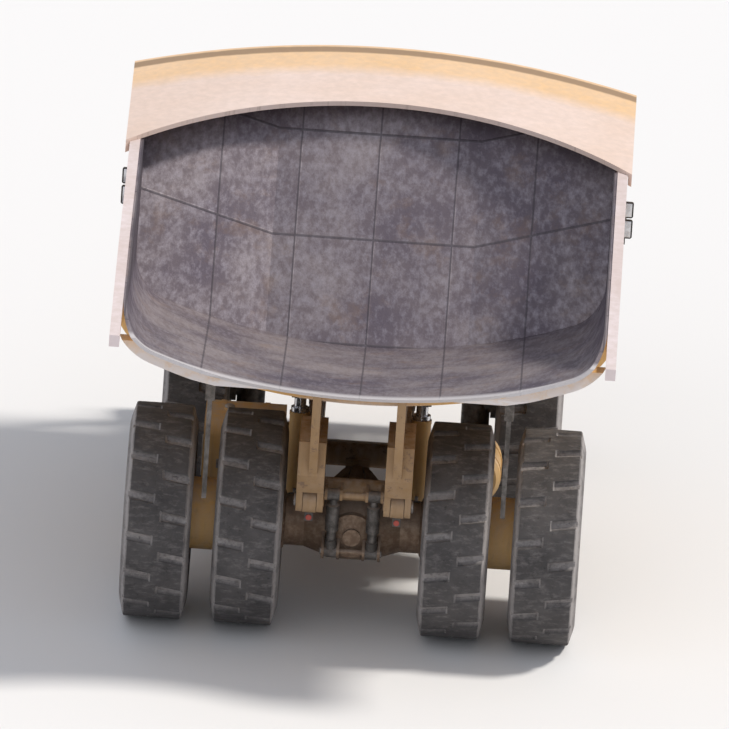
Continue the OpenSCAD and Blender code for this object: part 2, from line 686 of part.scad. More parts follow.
module front_tyre_left() truck() color(rubber) mirror([1, 0, 0]) at_front() tyre();
module front_rim_left() truck() color(yellow) mirror([1, 0, 0]) at_front() front_rim();
module front_tyre_right() truck() color(rubber) at_front() tyre();
module front_rim_right() truck() color(yellow) at_front() front_rim();

module twin_tyres() {
    at_rear() tyre();
    translate([inner_rear_x, 0, tyre_r]) tyre();
}

module rear_tyres_left() truck() color(rubber) mirror([1, 0, 0]) twin_tyres();
module rear_rims_left() truck() color(yellow) mirror([1, 0, 0]) at_rear() rear_rims();
module rear_tyres_right() truck() color(rubber) twin_tyres();
module rear_rims_right() truck() color(yellow) at_rear() rear_rims();

// Hoist cylinder drawn upright from its lower eye
module at_hoist() translate([hoist_x, hoist_low[0], hoist_low[1]]) rotate([-hoist_a, 0, 0]) children();

module hoist_barrel() at_hoist() difference() {
    union() {
        bar_x(-150, 150, 0, 0, 140);
        translate([0, 0, 100]) cylinder(h = 1600, r = 165);
        translate([0, 0, 1640]) cylinder(h = 60, r = 172);
        translate([0, 0, 90]) cylinder(h = 100, r = 172);
    }
    bar_x(-151, 151, 0, 0, 80 + play);
    translate([0, 0, 200]) cylinder(h = 1501, r = 135 + play);
}

module hoist_stage() at_hoist() difference() {
    union() {
        translate([0, 0, 210]) cylinder(h = 1570, r = 135);
        translate([0, 0, 1710]) cylinder(h = 70, r = 150);
    }
    translate([0, 0, 250]) cylinder(h = 1531, r = 100 + play);
}

module hoist_rod() at_hoist() {
    translate([0, 0, 260]) cylinder(h = hoist_len - 260 - 100, r = 100);
    translate([0, 0, hoist_len]) bar_x(-120, 150, 0, 0, 130);
}

module hoist_barrel_left() truck() color(yellow) mirror([1, 0, 0]) hoist_barrel();
module hoist_stage_left() truck() color(shiny) mirror([1, 0, 0]) hoist_stage();
module hoist_rod_left() truck() color(shiny) mirror([1, 0, 0]) hoist_rod();
module hoist_barrel_right() truck() color(yellow) hoist_barrel();
module hoist_stage_right() truck() color(shiny) hoist_stage();
module hoist_rod_right() truck() color(shiny) hoist_rod();

module bed_shell() truck() color(bare) intersection() {
    trough(-300, 9000) difference() {
        trough2d(bed_wall, 3300);
        trough2d(0, 3400);
    }
    side(-4500, 4500) wall_side(0);
    board(-3000, 7000) board_area(board_t);
}

module bed_ribs() truck() color(yellow) intersection() {
    for (s = rib_s) trough(s, s + rib_w) difference() {
        trough2d(bed_wall + rib_d);
        trough2d(bed_wall + rest);
    }
    side(-5000, 5000) wall_side(200);
    board(-3000, 7000) board_area(board_t);
}

// Main beams under the floor, their hinge ears, hoist brackets and resting pads
module bed_beams() truck() color(yellow) both() difference() {
    union() {
        side(rail_in + 10, rail_in + 150) polygon([
            [-hinge_back - 350, rail_top + 70], [toe_y - 50, rail_top + 70], [toe_y + 250, 3150],
            [toe_y + 350, 4400], [-2700, 5400], [-2700, 4500]
        ]);
        side(rail_in - 115, rail_out + 115) polygon([
            [-hinge_back - 350, rail_top + 70], [-hinge_back + 350, rail_top + 70],
            [-hinge_back + 500, 3900], [-hinge_back - 700, 3900], [-hinge_back - 700, 3300]
        ]);
        for (x = [rail_in - 115, rail_out + 10]) side(x, x + 105) {
            translate([-hinge_back - 190, hinge_z]) square([380, rail_top + 75 - hinge_z]);
            translate([-hinge_back, hinge_z]) circle(190);
        }
        side(rail_in + 149, hoist_x - 126) {
            translate(hoist_up) circle(130);
            translate([hoist_up[0] - 130, hoist_up[1]]) square([260, 500]);
        }
        for (y = [400, 1500, 2700]) box([rail_in + 20, y, rail_top + seat], [rail_in + 140, y + 300, rail_top + 71]);
    }
    bar_x(rail_in - 200, rail_out + 200, -hinge_back, hinge_z, hinge_pin_r + play);
    trough(-600, 10500) trough2d(bed_wall + rest);
    for (s = rib_s) trough(s - seat, s + rib_w + seat) trough2d(bed_wall + rib_d + rest);
}

// Canopy's back edge in plan at a distance from the middle
function back_edge(x) = canopy_back - back_bow_r + sqrt(back_bow_r * back_bow_r - x * x);

// Top rails of the side walls, cut to the canopy's back edge
module bed_rails() truck() color(yellow) both() intersection() {
    side(bed_half + bed_wall + seat, bed_half + bed_wall + rib_d) difference() {
        translate([0, 20]) wall_side(0);
        wall_side(180);
    }
    linear_extrude(9000) polygon([
        [0, -9000], [0, back_edge(bed_half + bed_wall) - 12],
        [bed_half + bed_wall, back_edge(bed_half + bed_wall) - 12],
        [bed_half + bed_wall + rib_d, back_edge(bed_half + bed_wall + rib_d) - 12], [6000, -9000]
    ]);
}

// Headboard of three panels, with columns on its front
module headboard() truck() color(bare) intersection() {
    union() {
        board(-1500, 6500) difference() {
            board_area(board_t);
            board_area(0);
        }
        board(150, 4000) intersection() {
            difference() {
                board_area(board_t + 110);
                board_area(board_t - 1);
            }
            for (x = [-2800, -1400, 0, 1400, 2800]) translate([x - 80, 0]) square([160, 2000]);
        }
    }
    trough(3000, 12000) trough2d(-seat);
    across(-20000, 20000) translate([0, rim_z - arch_r]) circle(arch_r - canopy_t - rest, $fn = fine_fn);
}

// Arched canopy with a deep front lip, side flanges and ribs below
module canopy() truck() color("#d9a05c") {
    arch(canopy_t) canopy_plan();
    arch(220) intersection() {
        canopy_plan();
        union() {
            difference() {
                translate([-5000, 6000]) square([10000, 5000]);
                translate([0, canopy_y - bow_r]) circle(bow_r - 60, $fn = fine_fn);
            }
            for (x = [-canopy_half, canopy_half - 60]) translate([x, 0]) square([60, 12000]);
            for (x = [-2500, -900, 900, 2500]) translate([x - 40, 7060]) square([80, 4000]);
        }
    }
}

// Bars that hang between the twin tyres, cut level with the rib that carries them
module rock_ejectors() truck() color(dark) {
    x = (inner_rear_x + outer_rear_x) / 2;
    r = floor_r + bed_wall + rib_d + seat;
    both() difference() {
        union() {
            box([x - 40, -1770, 2750], [x + 40, -1710, 5400]);
            box([x - 80, -1810, 4500], [x + 80, -1670, 5400]);
        }
        trough(-600, 10500) translate([-5000, floor_r - sqrt(r * r - pow(x - 80, 2))]) square([10000, 5000]);
    }
}

frame();
engine_block();
radiator();
front_bumper();
deck();
stairs();
handrails();
cab_shell();
cab_glass();
cab_interior();
door();
door_glass();
mirrors();
lamps();
fuel_tank();
hydraulic_tank();
air_cleaners();
control_cabinet();
front_struts();
rear_axle();
rear_struts();
knuckle_left();
knuckle_right();
tie_rod();
front_tyre_left();
front_rim_left();
front_tyre_right();
front_rim_right();
rear_tyres_left();
rear_rims_left();
rear_tyres_right();
rear_rims_right();
hoist_barrel_left();
hoist_stage_left();
hoist_rod_left();
hoist_barrel_right();
hoist_stage_right();
hoist_rod_right();
bed_shell();
bed_ribs();
bed_beams();
bed_rails();
headboard();
canopy();
rock_ejectors();
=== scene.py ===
import json
import math

import bmesh
import bpy
from mathutils import Matrix, Vector, noise


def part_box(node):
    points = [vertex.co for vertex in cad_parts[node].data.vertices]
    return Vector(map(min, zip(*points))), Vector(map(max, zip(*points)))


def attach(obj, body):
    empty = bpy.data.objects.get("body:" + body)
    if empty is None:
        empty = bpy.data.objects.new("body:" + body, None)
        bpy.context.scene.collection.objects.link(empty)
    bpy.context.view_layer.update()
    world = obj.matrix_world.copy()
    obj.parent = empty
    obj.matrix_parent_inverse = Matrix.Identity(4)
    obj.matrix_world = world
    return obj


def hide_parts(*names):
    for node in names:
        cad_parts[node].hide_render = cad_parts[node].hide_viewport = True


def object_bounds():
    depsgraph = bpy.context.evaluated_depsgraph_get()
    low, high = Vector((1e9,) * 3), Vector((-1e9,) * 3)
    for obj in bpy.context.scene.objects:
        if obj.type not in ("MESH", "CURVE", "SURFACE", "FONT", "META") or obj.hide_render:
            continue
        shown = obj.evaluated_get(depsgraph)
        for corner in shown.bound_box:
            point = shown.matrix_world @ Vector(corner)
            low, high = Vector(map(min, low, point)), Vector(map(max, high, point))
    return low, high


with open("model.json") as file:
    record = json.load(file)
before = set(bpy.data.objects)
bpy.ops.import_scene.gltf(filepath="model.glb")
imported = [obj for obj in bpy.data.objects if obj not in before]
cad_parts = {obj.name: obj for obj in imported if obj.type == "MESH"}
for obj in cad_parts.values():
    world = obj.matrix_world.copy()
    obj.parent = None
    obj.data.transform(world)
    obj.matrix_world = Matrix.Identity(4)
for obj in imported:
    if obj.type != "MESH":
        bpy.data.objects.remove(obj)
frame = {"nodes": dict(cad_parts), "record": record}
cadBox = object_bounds()
nodes = frame["nodes"]
sides = (("left", -1), ("right", 1))


def middle(node, axis):
    low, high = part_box(node)
    return (low[axis] + high[axis]) / 2


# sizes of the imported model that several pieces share, in metres: x across, y along and z up
tyreHalf = 0.565
site = {
    "rearY": middle("rear_tyres_left", 1), "frontY": middle("front_tyre_left", 1),
    "axleZ": middle("front_tyre_left", 2), "tyreR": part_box("front_tyre_left")[1][2] / 2,
    "frontX": middle("front_tyre_right", 0), "outerX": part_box("rear_tyres_right")[1][0] - tyreHalf,
    "innerX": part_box("rear_tyres_right")[0][0] + tyreHalf, "kingX": 1.9, "railOut": 0.84, "deckTop": 4.15,
    "noseY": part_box("radiator")[0][1], "bumperY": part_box("front_bumper")[1][1],
}
# pairs are places along from the rear axle and up from the ground
bed = {
    "half": 3.95, "wall": 0.06, "floorR": 10.0, "cornerR": 0.8, "tail": (-3.2, 5.2), "toe": (3.32, 3.6),
    "wallTop": 6.43, "wallFall": 0.119, "rim": (6.32, 6.9), "cutReach": 3.0,
}
bed["boardAngle"] = math.atan((bed["rim"][1] - bed["toe"][1]) / (bed["rim"][0] - bed["toe"][0]))
bed["slope"] = math.atan((bed["tail"][1] - bed["toe"][1]) / (bed["toe"][0] - bed["tail"][0]))
canopyRing = {"frontY": 9.1, "frontR": 4.25 / math.sin(math.radians(14.0625))}
hoist = {"x": 1.02, "low": (2.0, 1.2), "up": (2.2, 3.25), "eyeR": 0.13}


# Shader maths

class Wire:
    # one socket, so that sums and masks can be written as expressions
    def __init__(self, tree, socket):
        self.tree = tree
        self.socket = socket

    def join(self, operation, first, second):
        made = self.tree.nodes.new("ShaderNodeMath")
        made.operation = operation
        for place, value in zip(made.inputs, (first, second)):
            if isinstance(value, Wire):
                self.tree.links.new(value.socket, place)
            else:
                place.default_value = value
        return Wire(self.tree, made.outputs[0])

    def __add__(self, other):
        return self.join("ADD", self, other)

    def __radd__(self, other):
        return self.join("ADD", other, self)

    def __sub__(self, other):
        return self.join("SUBTRACT", self, other)

    def __rsub__(self, other):
        return self.join("SUBTRACT", other, self)

    def __mul__(self, other):
        return self.join("MULTIPLY", self, other)

    def __rmul__(self, other):
        return self.join("MULTIPLY", other, self)

    def __pow__(self, other):
        return self.join("POWER", self, other)

    def __mod__(self, other):
        return self.join("FLOORED_MODULO", self, other)

    def far(self):
        return self.join("ABSOLUTE", self, 0.0)

    def limited(self):
        return self.join("MINIMUM", self.join("MAXIMUM", self, 0.0), 1.0)


class Finish:
    # a material with its Principled shader, and one method for every other node
    def __init__(self, name, **settings):
        self.material = bpy.data.materials.new(name)
        self.material.use_nodes = True
        self.tree = self.material.node_tree
        self.shader = self.tree.nodes["Principled BSDF"]
        for socket, value in settings.items():
            self.shader.inputs[socket.replace("_", " ")].default_value = value
        self.place = self.node("TexCoord", output="Object")

    def node(self, kind, settings=None, output=0, **sockets):
        # a socket goes by its name, or as i6 by its number
        made = self.tree.nodes.new("ShaderNode" + kind)
        for name, value in (settings or {}).items():
            setattr(made, name, value)
        for name, value in sockets.items():
            key = int(name[1:]) if name[0] == "i" and name[1:].isdigit() else name.replace("_", " ")
            if isinstance(value, Wire):
                self.tree.links.new(value.socket, made.inputs[key])
            else:
                made.inputs[key].default_value = value
        return Wire(self.tree, made.outputs[output])

    def noise(self, scale, detail=4.0, roughness=0.6, stretch=(1, 1, 1), shift=0.0):
        moved = self.node("Mapping", Vector=self.place, Scale=stretch,
                          Location=(shift, shift * 0.7, shift * 1.3))
        return self.node("TexNoise", Vector=moved, Scale=scale, Detail=detail, Roughness=roughness)

    def band(self, wire, low, high):
        # 0 below low and 1 above high
        return self.node("MapRange", {"clamp": True}, Value=wire, i1=low, i2=high)

    def lines(self, wire, step, full, gone):
        # 1 on lines that lie a step apart, 0 at a distance from them
        return 1.0 - self.band((wire % step - step / 2).far(), full, gone)

    def mix(self, mask, *colours):
        # between two colours, each a wire or red, green and blue
        first, second = (c if isinstance(c, Wire) else (*c, 1.0) for c in colours)
        return self.node("Mix", {"data_type": "RGBA"}, output=2, i0=mask, i6=first, i7=second)

    def normal(self, axis):
        return self.node("SeparateXYZ", output=axis, Vector=self.node("TexCoord", output="Normal"))

    def along(self, axis):
        return self.node("SeparateXYZ", output=axis, Vector=self.place)

    def bump(self, height, strength, distance):
        return self.node("Bump", Strength=strength, Distance=distance, Height=height)

    def feed(self, **sockets):
        for name, value in sockets.items():
            self.tree.links.new(value.socket, self.shader.inputs[name.replace("_", " ")])
        return self.material


# Finishes: each one's plain colour and its faded, worn or dusty one

tones = {
    "yellow": ((0.60, 0.33, 0.075), (0.72, 0.47, 0.20)),
    # yellow darkened partly by grime and partly by painted shade under the body
    "grimeAndShadeYellow": ((0.235, 0.135, 0.05), (0.33, 0.205, 0.10)),
    "bedYellow": ((0.60, 0.34, 0.085), (0.72, 0.48, 0.22)),
    "bedSteel": ((0.135, 0.112, 0.138), (0.275, 0.25, 0.29)),
    "canopyFront": ((0.80, 0.515, 0.26), (0.87, 0.60, 0.37)),
    "canopyBack": ((0.78, 0.60, 0.50), (0.84, 0.68, 0.61)),
    "rail": ((0.66, 0.54, 0.51), (0.78, 0.68, 0.68)),
    "oilySteel": ((0.075, 0.068, 0.062), (0.17, 0.155, 0.145)),
    "muddySteel": ((0.16, 0.105, 0.07), (0.26, 0.19, 0.135)),
    "deckSteel": ((0.15, 0.14, 0.14), (0.27, 0.26, 0.26)),
    "boltSteel": ((0.22, 0.20, 0.19), (0.42, 0.40, 0.38)),
    "engineIron": ((0.11, 0.105, 0.10), (0.17, 0.155, 0.14)),
    "hoseRubber": ((0.028, 0.027, 0.026), (0.06, 0.055, 0.05)),
    "tyreRubber": ((0.030, 0.028, 0.029), (0.335, 0.31, 0.30)),
    "black": ((0.028, 0.028, 0.028), (0.055, 0.052, 0.05)),
    "seatCloth": ((0.05, 0.052, 0.058), (0.09, 0.09, 0.095)),
    "lamp": ((0.80, 0.80, 0.74), (0.7, 0.68, 0.6)),
    "redLens": ((0.38, 0.02, 0.015), (0.45, 0.05, 0.03)),
    "rod": ((0.62, 0.62, 0.64), (0.25, 0.20, 0.16)),
    "window": ((0.02, 0.028, 0.034), (0.26, 0.23, 0.20)),
}
marks = {
    "dust": (0.50, 0.41, 0.345), "dirtRun": (0.20, 0.13, 0.085), "scuff": (0.16, 0.10, 0.07),
    "rust": (0.20, 0.12, 0.08), "seam": (0.08, 0.07, 0.08), "polishedLip": (0.66, 0.63, 0.63),
    # the canopy's edge colour is a painted shadow along its front edge
    "groundRib": (0.70, 0.67, 0.68), "canopyEdgeShadow": (0.27, 0.18, 0.11),
    # the canopy's below colour is painted shade on what faces down
    "canopyShadeBelow": (0.50, 0.28, 0.08), "treadBar": (0.33, 0.32, 0.31),
    "tornRubber": (0.02, 0.019, 0.019),
}


def paintLayers(made, tone, dustShare=0.55, wear=0.64):
    # sun-bleached paint: dust on what faces up, dirt low down, runs of dirt and bare scuffs
    base, faded = tones[tone]
    broad = made.noise(0.35, 3)
    fine = made.noise(7.0, 6, 0.7)
    streak = made.noise(2.2, 5, 0.6, (3.0, 3.0, 0.35))
    grain = made.noise(60.0, 3, 0.6)
    fade = made.mix(made.band(broad + fine * 0.35, 0.45, 0.85), base, faded)
    up = made.band(made.normal(2), 0.15, 0.95)
    low = 1.0 - made.band(made.along(2), 0.6, 3.8)
    dusty = (up * 0.75 + low * 0.55 + 0.15) * made.band(streak, 0.3, 0.62) * dustShare
    covered = made.mix(dusty.limited(), fade, marks["dust"])
    runs = made.band(made.noise(3.0, 4, 0.6, (4.0, 4.0, 0.12), 9.0), 0.56, 0.75)
    stained = made.mix(runs * (1.0 - up) * 0.35, covered, marks["dirtRun"])
    scuff = made.band(made.noise(3.1, 8, 0.78, shift=4.0), wear, wear + 0.05)
    worn = made.mix(scuff * 0.75, stained, marks["scuff"])
    rough = made.band(fine + dusty, 0.1, 1.3) * 0.35 + 0.45
    return worn, rough, fine + grain * 0.35 - scuff * 0.6


def steelLayers(made, tone, dustShare=0.5, scratchAlong=(1.0, 0.12, 1.0)):
    # bare plate, worn in use: long scratches, polished streaks, some rust and dust
    base, bright = tones[tone]
    broad = made.noise(0.5, 4)
    scratch = made.noise(9.0, 5, 0.7, scratchAlong)
    fine = made.noise(24.0, 4, 0.7)
    polish = made.band(scratch + broad * 0.5, 0.66, 0.95)
    plate = made.mix(polish, base, bright)
    rust = made.band(made.noise(1.3, 7, 0.7, shift=3.0), 0.55, 0.72) * 0.5
    rusty = made.mix(rust, plate, marks["rust"])
    dusty = made.band(made.normal(2), 0.2, 0.95) * made.band(broad + fine * 0.2, 0.42, 0.75) * dustShare
    covered = made.mix(dusty.limited(), rusty, marks["dust"])
    metal = (0.6 - dusty * 0.5 - rust * 0.4).limited()
    return covered, metal, (0.62 - polish * 0.22 + dusty * 0.2).limited(), scratch + fine * 0.4


def paint(name, tone, dustShare=0.55, wear=0.64):
    made = Finish(name, Roughness=0.6, Specular_IOR_Level=0.35)
    worn, rough, height = paintLayers(made, tone, dustShare, wear)
    return made.feed(Base_Color=worn, Roughness=rough, Normal=made.bump(height, 0.25, 0.01))


def steel(name, tone, dustShare=0.5):
    made = Finish(name, Metallic=0.55, Roughness=0.5)
    covered, metal, rough, height = steelLayers(made, tone, dustShare)
    return made.feed(Base_Color=covered, Metallic=metal, Roughness=rough,
                     Normal=made.bump(height, 0.35, 0.012))


def nearTail(made, start, end):
    # 1 by the tail's upright ends and by its slanting cut in the middle, 0 further in
    upright = made.along(1) - (site["rearY"] + bed["tail"][0])
    slanting = ((made.along(1) - (site["rearY"] + bed["toe"][0])) * math.cos(bed["boardAngle"])
                + (made.along(2) - bed["toe"][1]) * math.sin(bed["boardAngle"]) + bed["cutReach"])
    return (2.0 - made.band(upright, start, end) - made.band(slanting, start, end)).limited()


plates = {"long": 1.28, "wide": 1.32, "seam": (0.008, 0.02)}


def bodyPlate(name):
    # bare and scratched inside, paint outside, seams of the liner plates, and a lip polished by wear
    made = Finish(name, Specular_IOR_Level=0.4)
    bare, metal, bareRough, bareHeight = steelLayers(made, "bedSteel", 0.35)
    coat, coatRough, coatHeight = paintLayers(made, "bedYellow", 0.6, 0.66)
    outward = made.band(made.along(0) * made.normal(0), 0.5, 1.0) + made.band(0.0 - made.normal(2), 0.05, 0.2)
    end = made.band(0.0 - made.normal(1), 0.35, 0.5)
    outside = (outward.limited() - end).limited()
    inside = 1.0 - outside
    fromTail = made.along(1) - (site["rearY"] + bed["tail"][0])
    fromMiddle = made.along(0) + plates["wide"] / 2
    seam = (made.lines(fromTail, plates["long"], *plates["seam"])
            + made.lines(fromMiddle, plates["wide"], *plates["seam"])).limited() * inside
    lined = made.mix(seam * 0.7, bare, marks["seam"])
    lip = nearTail(made, 0.10, 0.24) * inside
    polished = made.mix(lip * 0.8, lined, marks["polishedLip"])
    rough = bareRough * inside + coatRough * outside
    height = bareHeight * inside * 1.4 + coatHeight * outside + seam * 2.5
    shown = made.mix(outside, polished, coat)
    return made.feed(Base_Color=shown, Metallic=metal * inside * (1.0 - lip * 0.7),
                     Roughness=rough.limited(), Normal=made.bump(height, 0.3, 0.012))


def wornToTail(name, tone):
    # paint of the ribs, ground away on what faces back at the tail
    made = Finish(name, Roughness=0.6, Specular_IOR_Level=0.35)
    worn, rough, height = paintLayers(made, tone)
    ground = nearTail(made, 0.24, 0.34) * made.band(0.0 - made.normal(1), 0.35, 0.6)
    patch = made.band(made.noise(6.0, 5, 0.7), 0.25, 0.5) * 0.4 + 0.55
    shown = made.mix(ground * patch, worn, marks["groundRib"])
    return made.feed(Base_Color=shown, Roughness=rough, Normal=made.bump(height, 0.25, 0.01))


def canopyPaint(name):
    # bleached towards the body, deeper towards the front, with a painted shadow as a dark line along the front
    # edge, and painted shade on what faces down
    made = Finish(name, Roughness=0.6, Specular_IOR_Level=0.3)
    deep, rough, height = paintLayers(made, "canopyFront", 0.3, 0.70)
    pale, _, _ = paintLayers(made, "canopyBack", 0.3, 0.74)
    edgeR = canopyRing["frontR"]
    side = made.along(0)
    ahead = made.along(1) - (site["rearY"] + canopyRing["frontY"] - edgeR)
    reach = (side * side + ahead * ahead) ** 0.5
    torn = made.noise(2.5, 6, 0.7) * 0.35

    shown = made.mix(made.band(reach + torn, edgeR - 1.25, edgeR - 0.75), pale, deep)
    line = reach + torn * 0.2
    # painted shadow: a dark band a little behind the canopy's front edge, as if cast by its flange
    edge = made.band(line, edgeR - 0.33, edgeR - 0.27) * (1.0 - made.band(line, edgeR - 0.07, edgeR - 0.02))
    lined = made.mix(edge * 0.85, shown, marks["canopyEdgeShadow"])
    # painted shade: faces of the canopy that point down are darker
    below = made.mix(made.band(0.0 - made.normal(2), 0.3, 0.7) * 0.75, lined, marks["canopyShadeBelow"])
    return made.feed(Base_Color=below, Roughness=rough, Normal=made.bump(height, 0.25, 0.01))


footing = {"step": 0.09, "bar": (0.006, 0.012)}


def treadedDeck(name):
    # raised pattern of short bars on what is walked on, worn bright where boots go
    made = Finish(name, Metallic=0.4, Roughness=0.6)
    base, metal, rough, height = steelLayers(made, "deckSteel", 0.75, (1.0, 1.0, 1.0))
    bars = (made.lines(made.along(0) + made.along(1), footing["step"], *footing["bar"])
            + made.lines(made.along(0) - made.along(1), footing["step"], *footing["bar"]))
    raised = bars.limited() * made.band(made.normal(2), 0.8, 0.95)
    shown = made.mix(raised * 0.45, base, marks["treadBar"])
    return made.feed(Base_Color=shown, Metallic=metal, Roughness=rough,
                     Normal=made.bump(height * 0.4 + raised * 2.0, 0.4, 0.01))


def tyreRubber(name):
    # dusty grey all over, paler in the grooves, paler on the sidewall from dust and painted light, darker on
    # the tread from painted shade, with scuffs and chips
    made = Finish(name, Specular_IOR_Level=0.3)
    fine = made.noise(14.0, 6, 0.7)
    patch = made.noise(1.6, 5, 0.65)
    chips = made.band(made.noise(9.0, 5, 0.75, shift=6.0), 0.60, 0.68)
    # sidewall paler than tread: partly dust, partly painted light on the sidewall and painted shade on the
    # tread
    sidewallDustAndLight = made.band(made.normal(0).far(), 0.35, 0.9) * 0.78 + 0.22
    dusty = (made.band(patch + fine * 0.3, 0.42, 0.85) * 0.7 + 0.2) * sidewallDustAndLight
    # distance from the nearer axle, because dust lies in the grooves
    halfBase = (site["frontY"] - site["rearY"]) / 2
    fromAxle = (made.along(1) - (site["rearY"] + halfBase)).far() - halfBase
    height = made.along(2) - site["axleZ"]
    radius = (fromAxle * fromAxle + height * height) ** 0.5
    groove = (1.0 - made.band(radius, 1.715, 1.775)) * made.band(radius, 1.58, 1.66)
    packed = groove * made.band(fine + patch * 0.4, 0.35, 0.75) * 0.55
    scuff = made.band(made.noise(5.0, 6, 0.75, (1.0, 2.5, 2.5), 2.0), 0.50, 0.68) * 0.22
    grey = made.mix((dusty + packed + scuff).limited(), *tones["tyreRubber"])
    torn = made.mix(chips * 0.5, grey, marks["tornRubber"])
    rough = made.band(fine, 0.2, 0.8) * 0.2 + 0.72
    return made.feed(Base_Color=torn, Roughness=rough, Normal=made.bump(fine - chips * 0.8, 0.45, 0.012))


def chrome(name):
    # ground rods, with dull forged eyes at their upper ends
    made = Finish(name)
    fine = made.noise(30.0, 4, 0.6, (1, 1, 0.2))
    grime = made.band(made.noise(5.0, 5, 0.7), 0.5, 0.75)
    covered = made.mix(grime * 0.5, *tones["rod"])
    forged, forgedMetal, forgedRough, _ = steelLayers(made, "oilySteel", 0.7)
    behind = made.along(1) - (site["rearY"] + hoist["up"][0])
    above = made.along(2) - hoist["up"][1]
    fromPin = (behind * behind + above * above) ** 0.5
    eye = 1.0 - made.band(fromPin, hoist["eyeR"] + 0.005, hoist["eyeR"] + 0.02)
    rod = 1.0 - eye
    return made.feed(Base_Color=made.mix(eye, covered, forged), Metallic=(rod + forgedMetal * eye).limited(),
                     Roughness=(fine * 0.15 + 0.18 + grime * 0.25) * rod + forgedRough * eye,
                     Normal=made.bump(fine, 0.08, 0.003))


def lampGlass(name):
    # pale glass in front, black housings on the rear lamps
    made = Finish(name, Roughness=0.6, Specular_IOR_Level=0.35)
    pale, _, _ = paintLayers(made, "lamp", 0.25, 0.9)
    dark, rough, height = paintLayers(made, "black", 0.35, 0.76)
    rear = made.band(0.0 - made.along(1), 0.0, 0.1)
    return made.feed(Base_Color=made.mix(rear, pale, dark), Roughness=rough - (1.0 - rear) * 0.3,
                     Normal=made.bump(height, 0.1, 0.004))


def darkGlass(name):
    made = Finish(name, Metallic=0.0, Coat_Weight=0.6)
    film = made.band(made.noise(2.5, 6, 0.7), 0.35, 0.75)
    return made.feed(Base_Color=made.mix(film * 0.45, *tones["window"]), Roughness=film * 0.3 + 0.08,
                     Normal=made.bump(film, 0.05, 0.003))


yellowPaint = paint("dustyYellow", "yellow")
# grimy yellow that also holds painted shade under the body
grimeAndShadePaint = paint("grimeAndShadeYellow", "grimeAndShadeYellow", 0.6, 0.57)
darkSteel = steel("oilySteel", "oilySteel", 0.7)
axleSteel = steel("muddyAxle", "muddySteel", 0.9)
engineIron = paint("engineIron", "engineIron", 0.5, 0.70)
boltSteel = steel("boltSteel", "boltSteel", 0.4)
hoseRubber = paint("hoseRubber", "hoseRubber", 0.5, 0.78)
rodChrome = chrome("rodChrome")
blackTrim = paint("blackTrim", "black", 0.35, 0.76)
lampLens = paint("lampLens", "lamp", 0.25, 0.9)
redLens = paint("redLens", "redLens", 0.3, 0.9)
tyreFinish = tyreRubber("dustyRubber")
deckFinish = treadedDeck("treadedDeck")

finishBySlot = {
    "yellow_paint": yellowPaint, "canopy_paint": canopyPaint("bleachedCanopy"),
    "bed_steel": bodyPlate("wornBed"), "tyre": tyreFinish, "dark_steel": darkSteel, "deck_grey": deckFinish,
    "rod_chrome": rodChrome, "glass": darkGlass("cabGlass"), "trim": blackTrim, "lamp": lampGlass("lampGlass"),
}
# the frame and the body's beams take the grimy yellow, darkened by grime and by painted shade under the body
finishByNode = {
    "bed_rails": paint("scuffedRail", "rail", 0.4, 0.68), "bed_ribs": wornToTail("ribPaint", "yellow"),
    "bed_beams": grimeAndShadePaint, "frame": grimeAndShadePaint, "rear_axle": axleSteel, "engine_block": engineIron,
    "cab_interior": paint("seatCloth", "seatCloth", 0.2, 0.80),
}
for part in frame["record"]["subparts"]:
    mesh = nodes[part["node"]].data
    mesh.materials.clear()
    mesh.materials.append(finishByNode.get(part["node"], finishBySlot[part["material_slot"]]))
print("finishes on the packed nodes")


# Making pieces

onDeck = (0, site["rearY"], site["deckTop"])
onGround = (0, site["rearY"], 0)
forwards, backwards, upwards = (0, 1, 0), (0, -1, 0), (0, 0, 1)


def linked(name, data):
    made = bpy.data.objects.new(name, data)
    bpy.context.scene.collection.objects.link(made)
    return made


def riding(name, data, finish, body):
    data.materials.append(finish)
    piece = linked(name, data)
    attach(piece, body)
    return piece


def finished(name, bm, finish, body, crease=38):
    # doubles merged, faces outwards, hard edges kept
    bmesh.ops.remove_doubles(bm, verts=bm.verts, dist=0.0001)
    bmesh.ops.recalc_face_normals(bm, faces=bm.faces)
    mesh = bpy.data.meshes.new(name)
    bm.to_mesh(mesh)
    bm.free()
    mesh.shade_smooth()
    mesh.set_sharp_from_angle(angle=math.radians(crease))
    return riding(name, mesh, finish, body)


def facingTo(place, along):
    return Matrix.Translation(place) @ Vector(along).to_track_quat("Z", "Y").to_matrix().to_4x4()


def rearPlace(across, along, up):
    # from measures taken at the rear axle and the ground, as the frame is laid out
    return (across, site["rearY"] + along, up)


def addBlock(bm, corner, opposite, edge=0.0):
    corner, opposite = Vector(corner), Vector(opposite)
    size = [abs(reach) for reach in opposite - corner]
    made = bmesh.ops.create_cube(bm, size=1.0, matrix=Matrix.Translation((corner + opposite) / 2)
                                 @ Matrix.Diagonal((*size, 1.0)))
    if edge:
        edges = {e for vert in made["verts"] for e in vert.link_edges}
        bmesh.ops.bevel(bm, geom=list(edges), offset=edge, affect="EDGES", segments=2, profile=0.5,
                        material=-1)


def addRod(bm, start, end, radius, sides=24, endRadius=None):
    start, end = Vector(start), Vector(end)
    bmesh.ops.create_cone(bm, cap_ends=True, segments=sides, radius1=radius, depth=(end - start).length,
                          radius2=radius if endRadius is None else endRadius,
                          matrix=facingTo((start + end) / 2, end - start))


# shares of a nut's size, apart from how far its washer is let in
nutShape = {
    "letIn": 0.004, "washer": 0.18, "washerR": 1.25, "seat": 0.1, "height": 0.8, "topR": 0.92,
    "studR": 0.5, "studFoot": 0.72, "studEnd": 1.08,
}


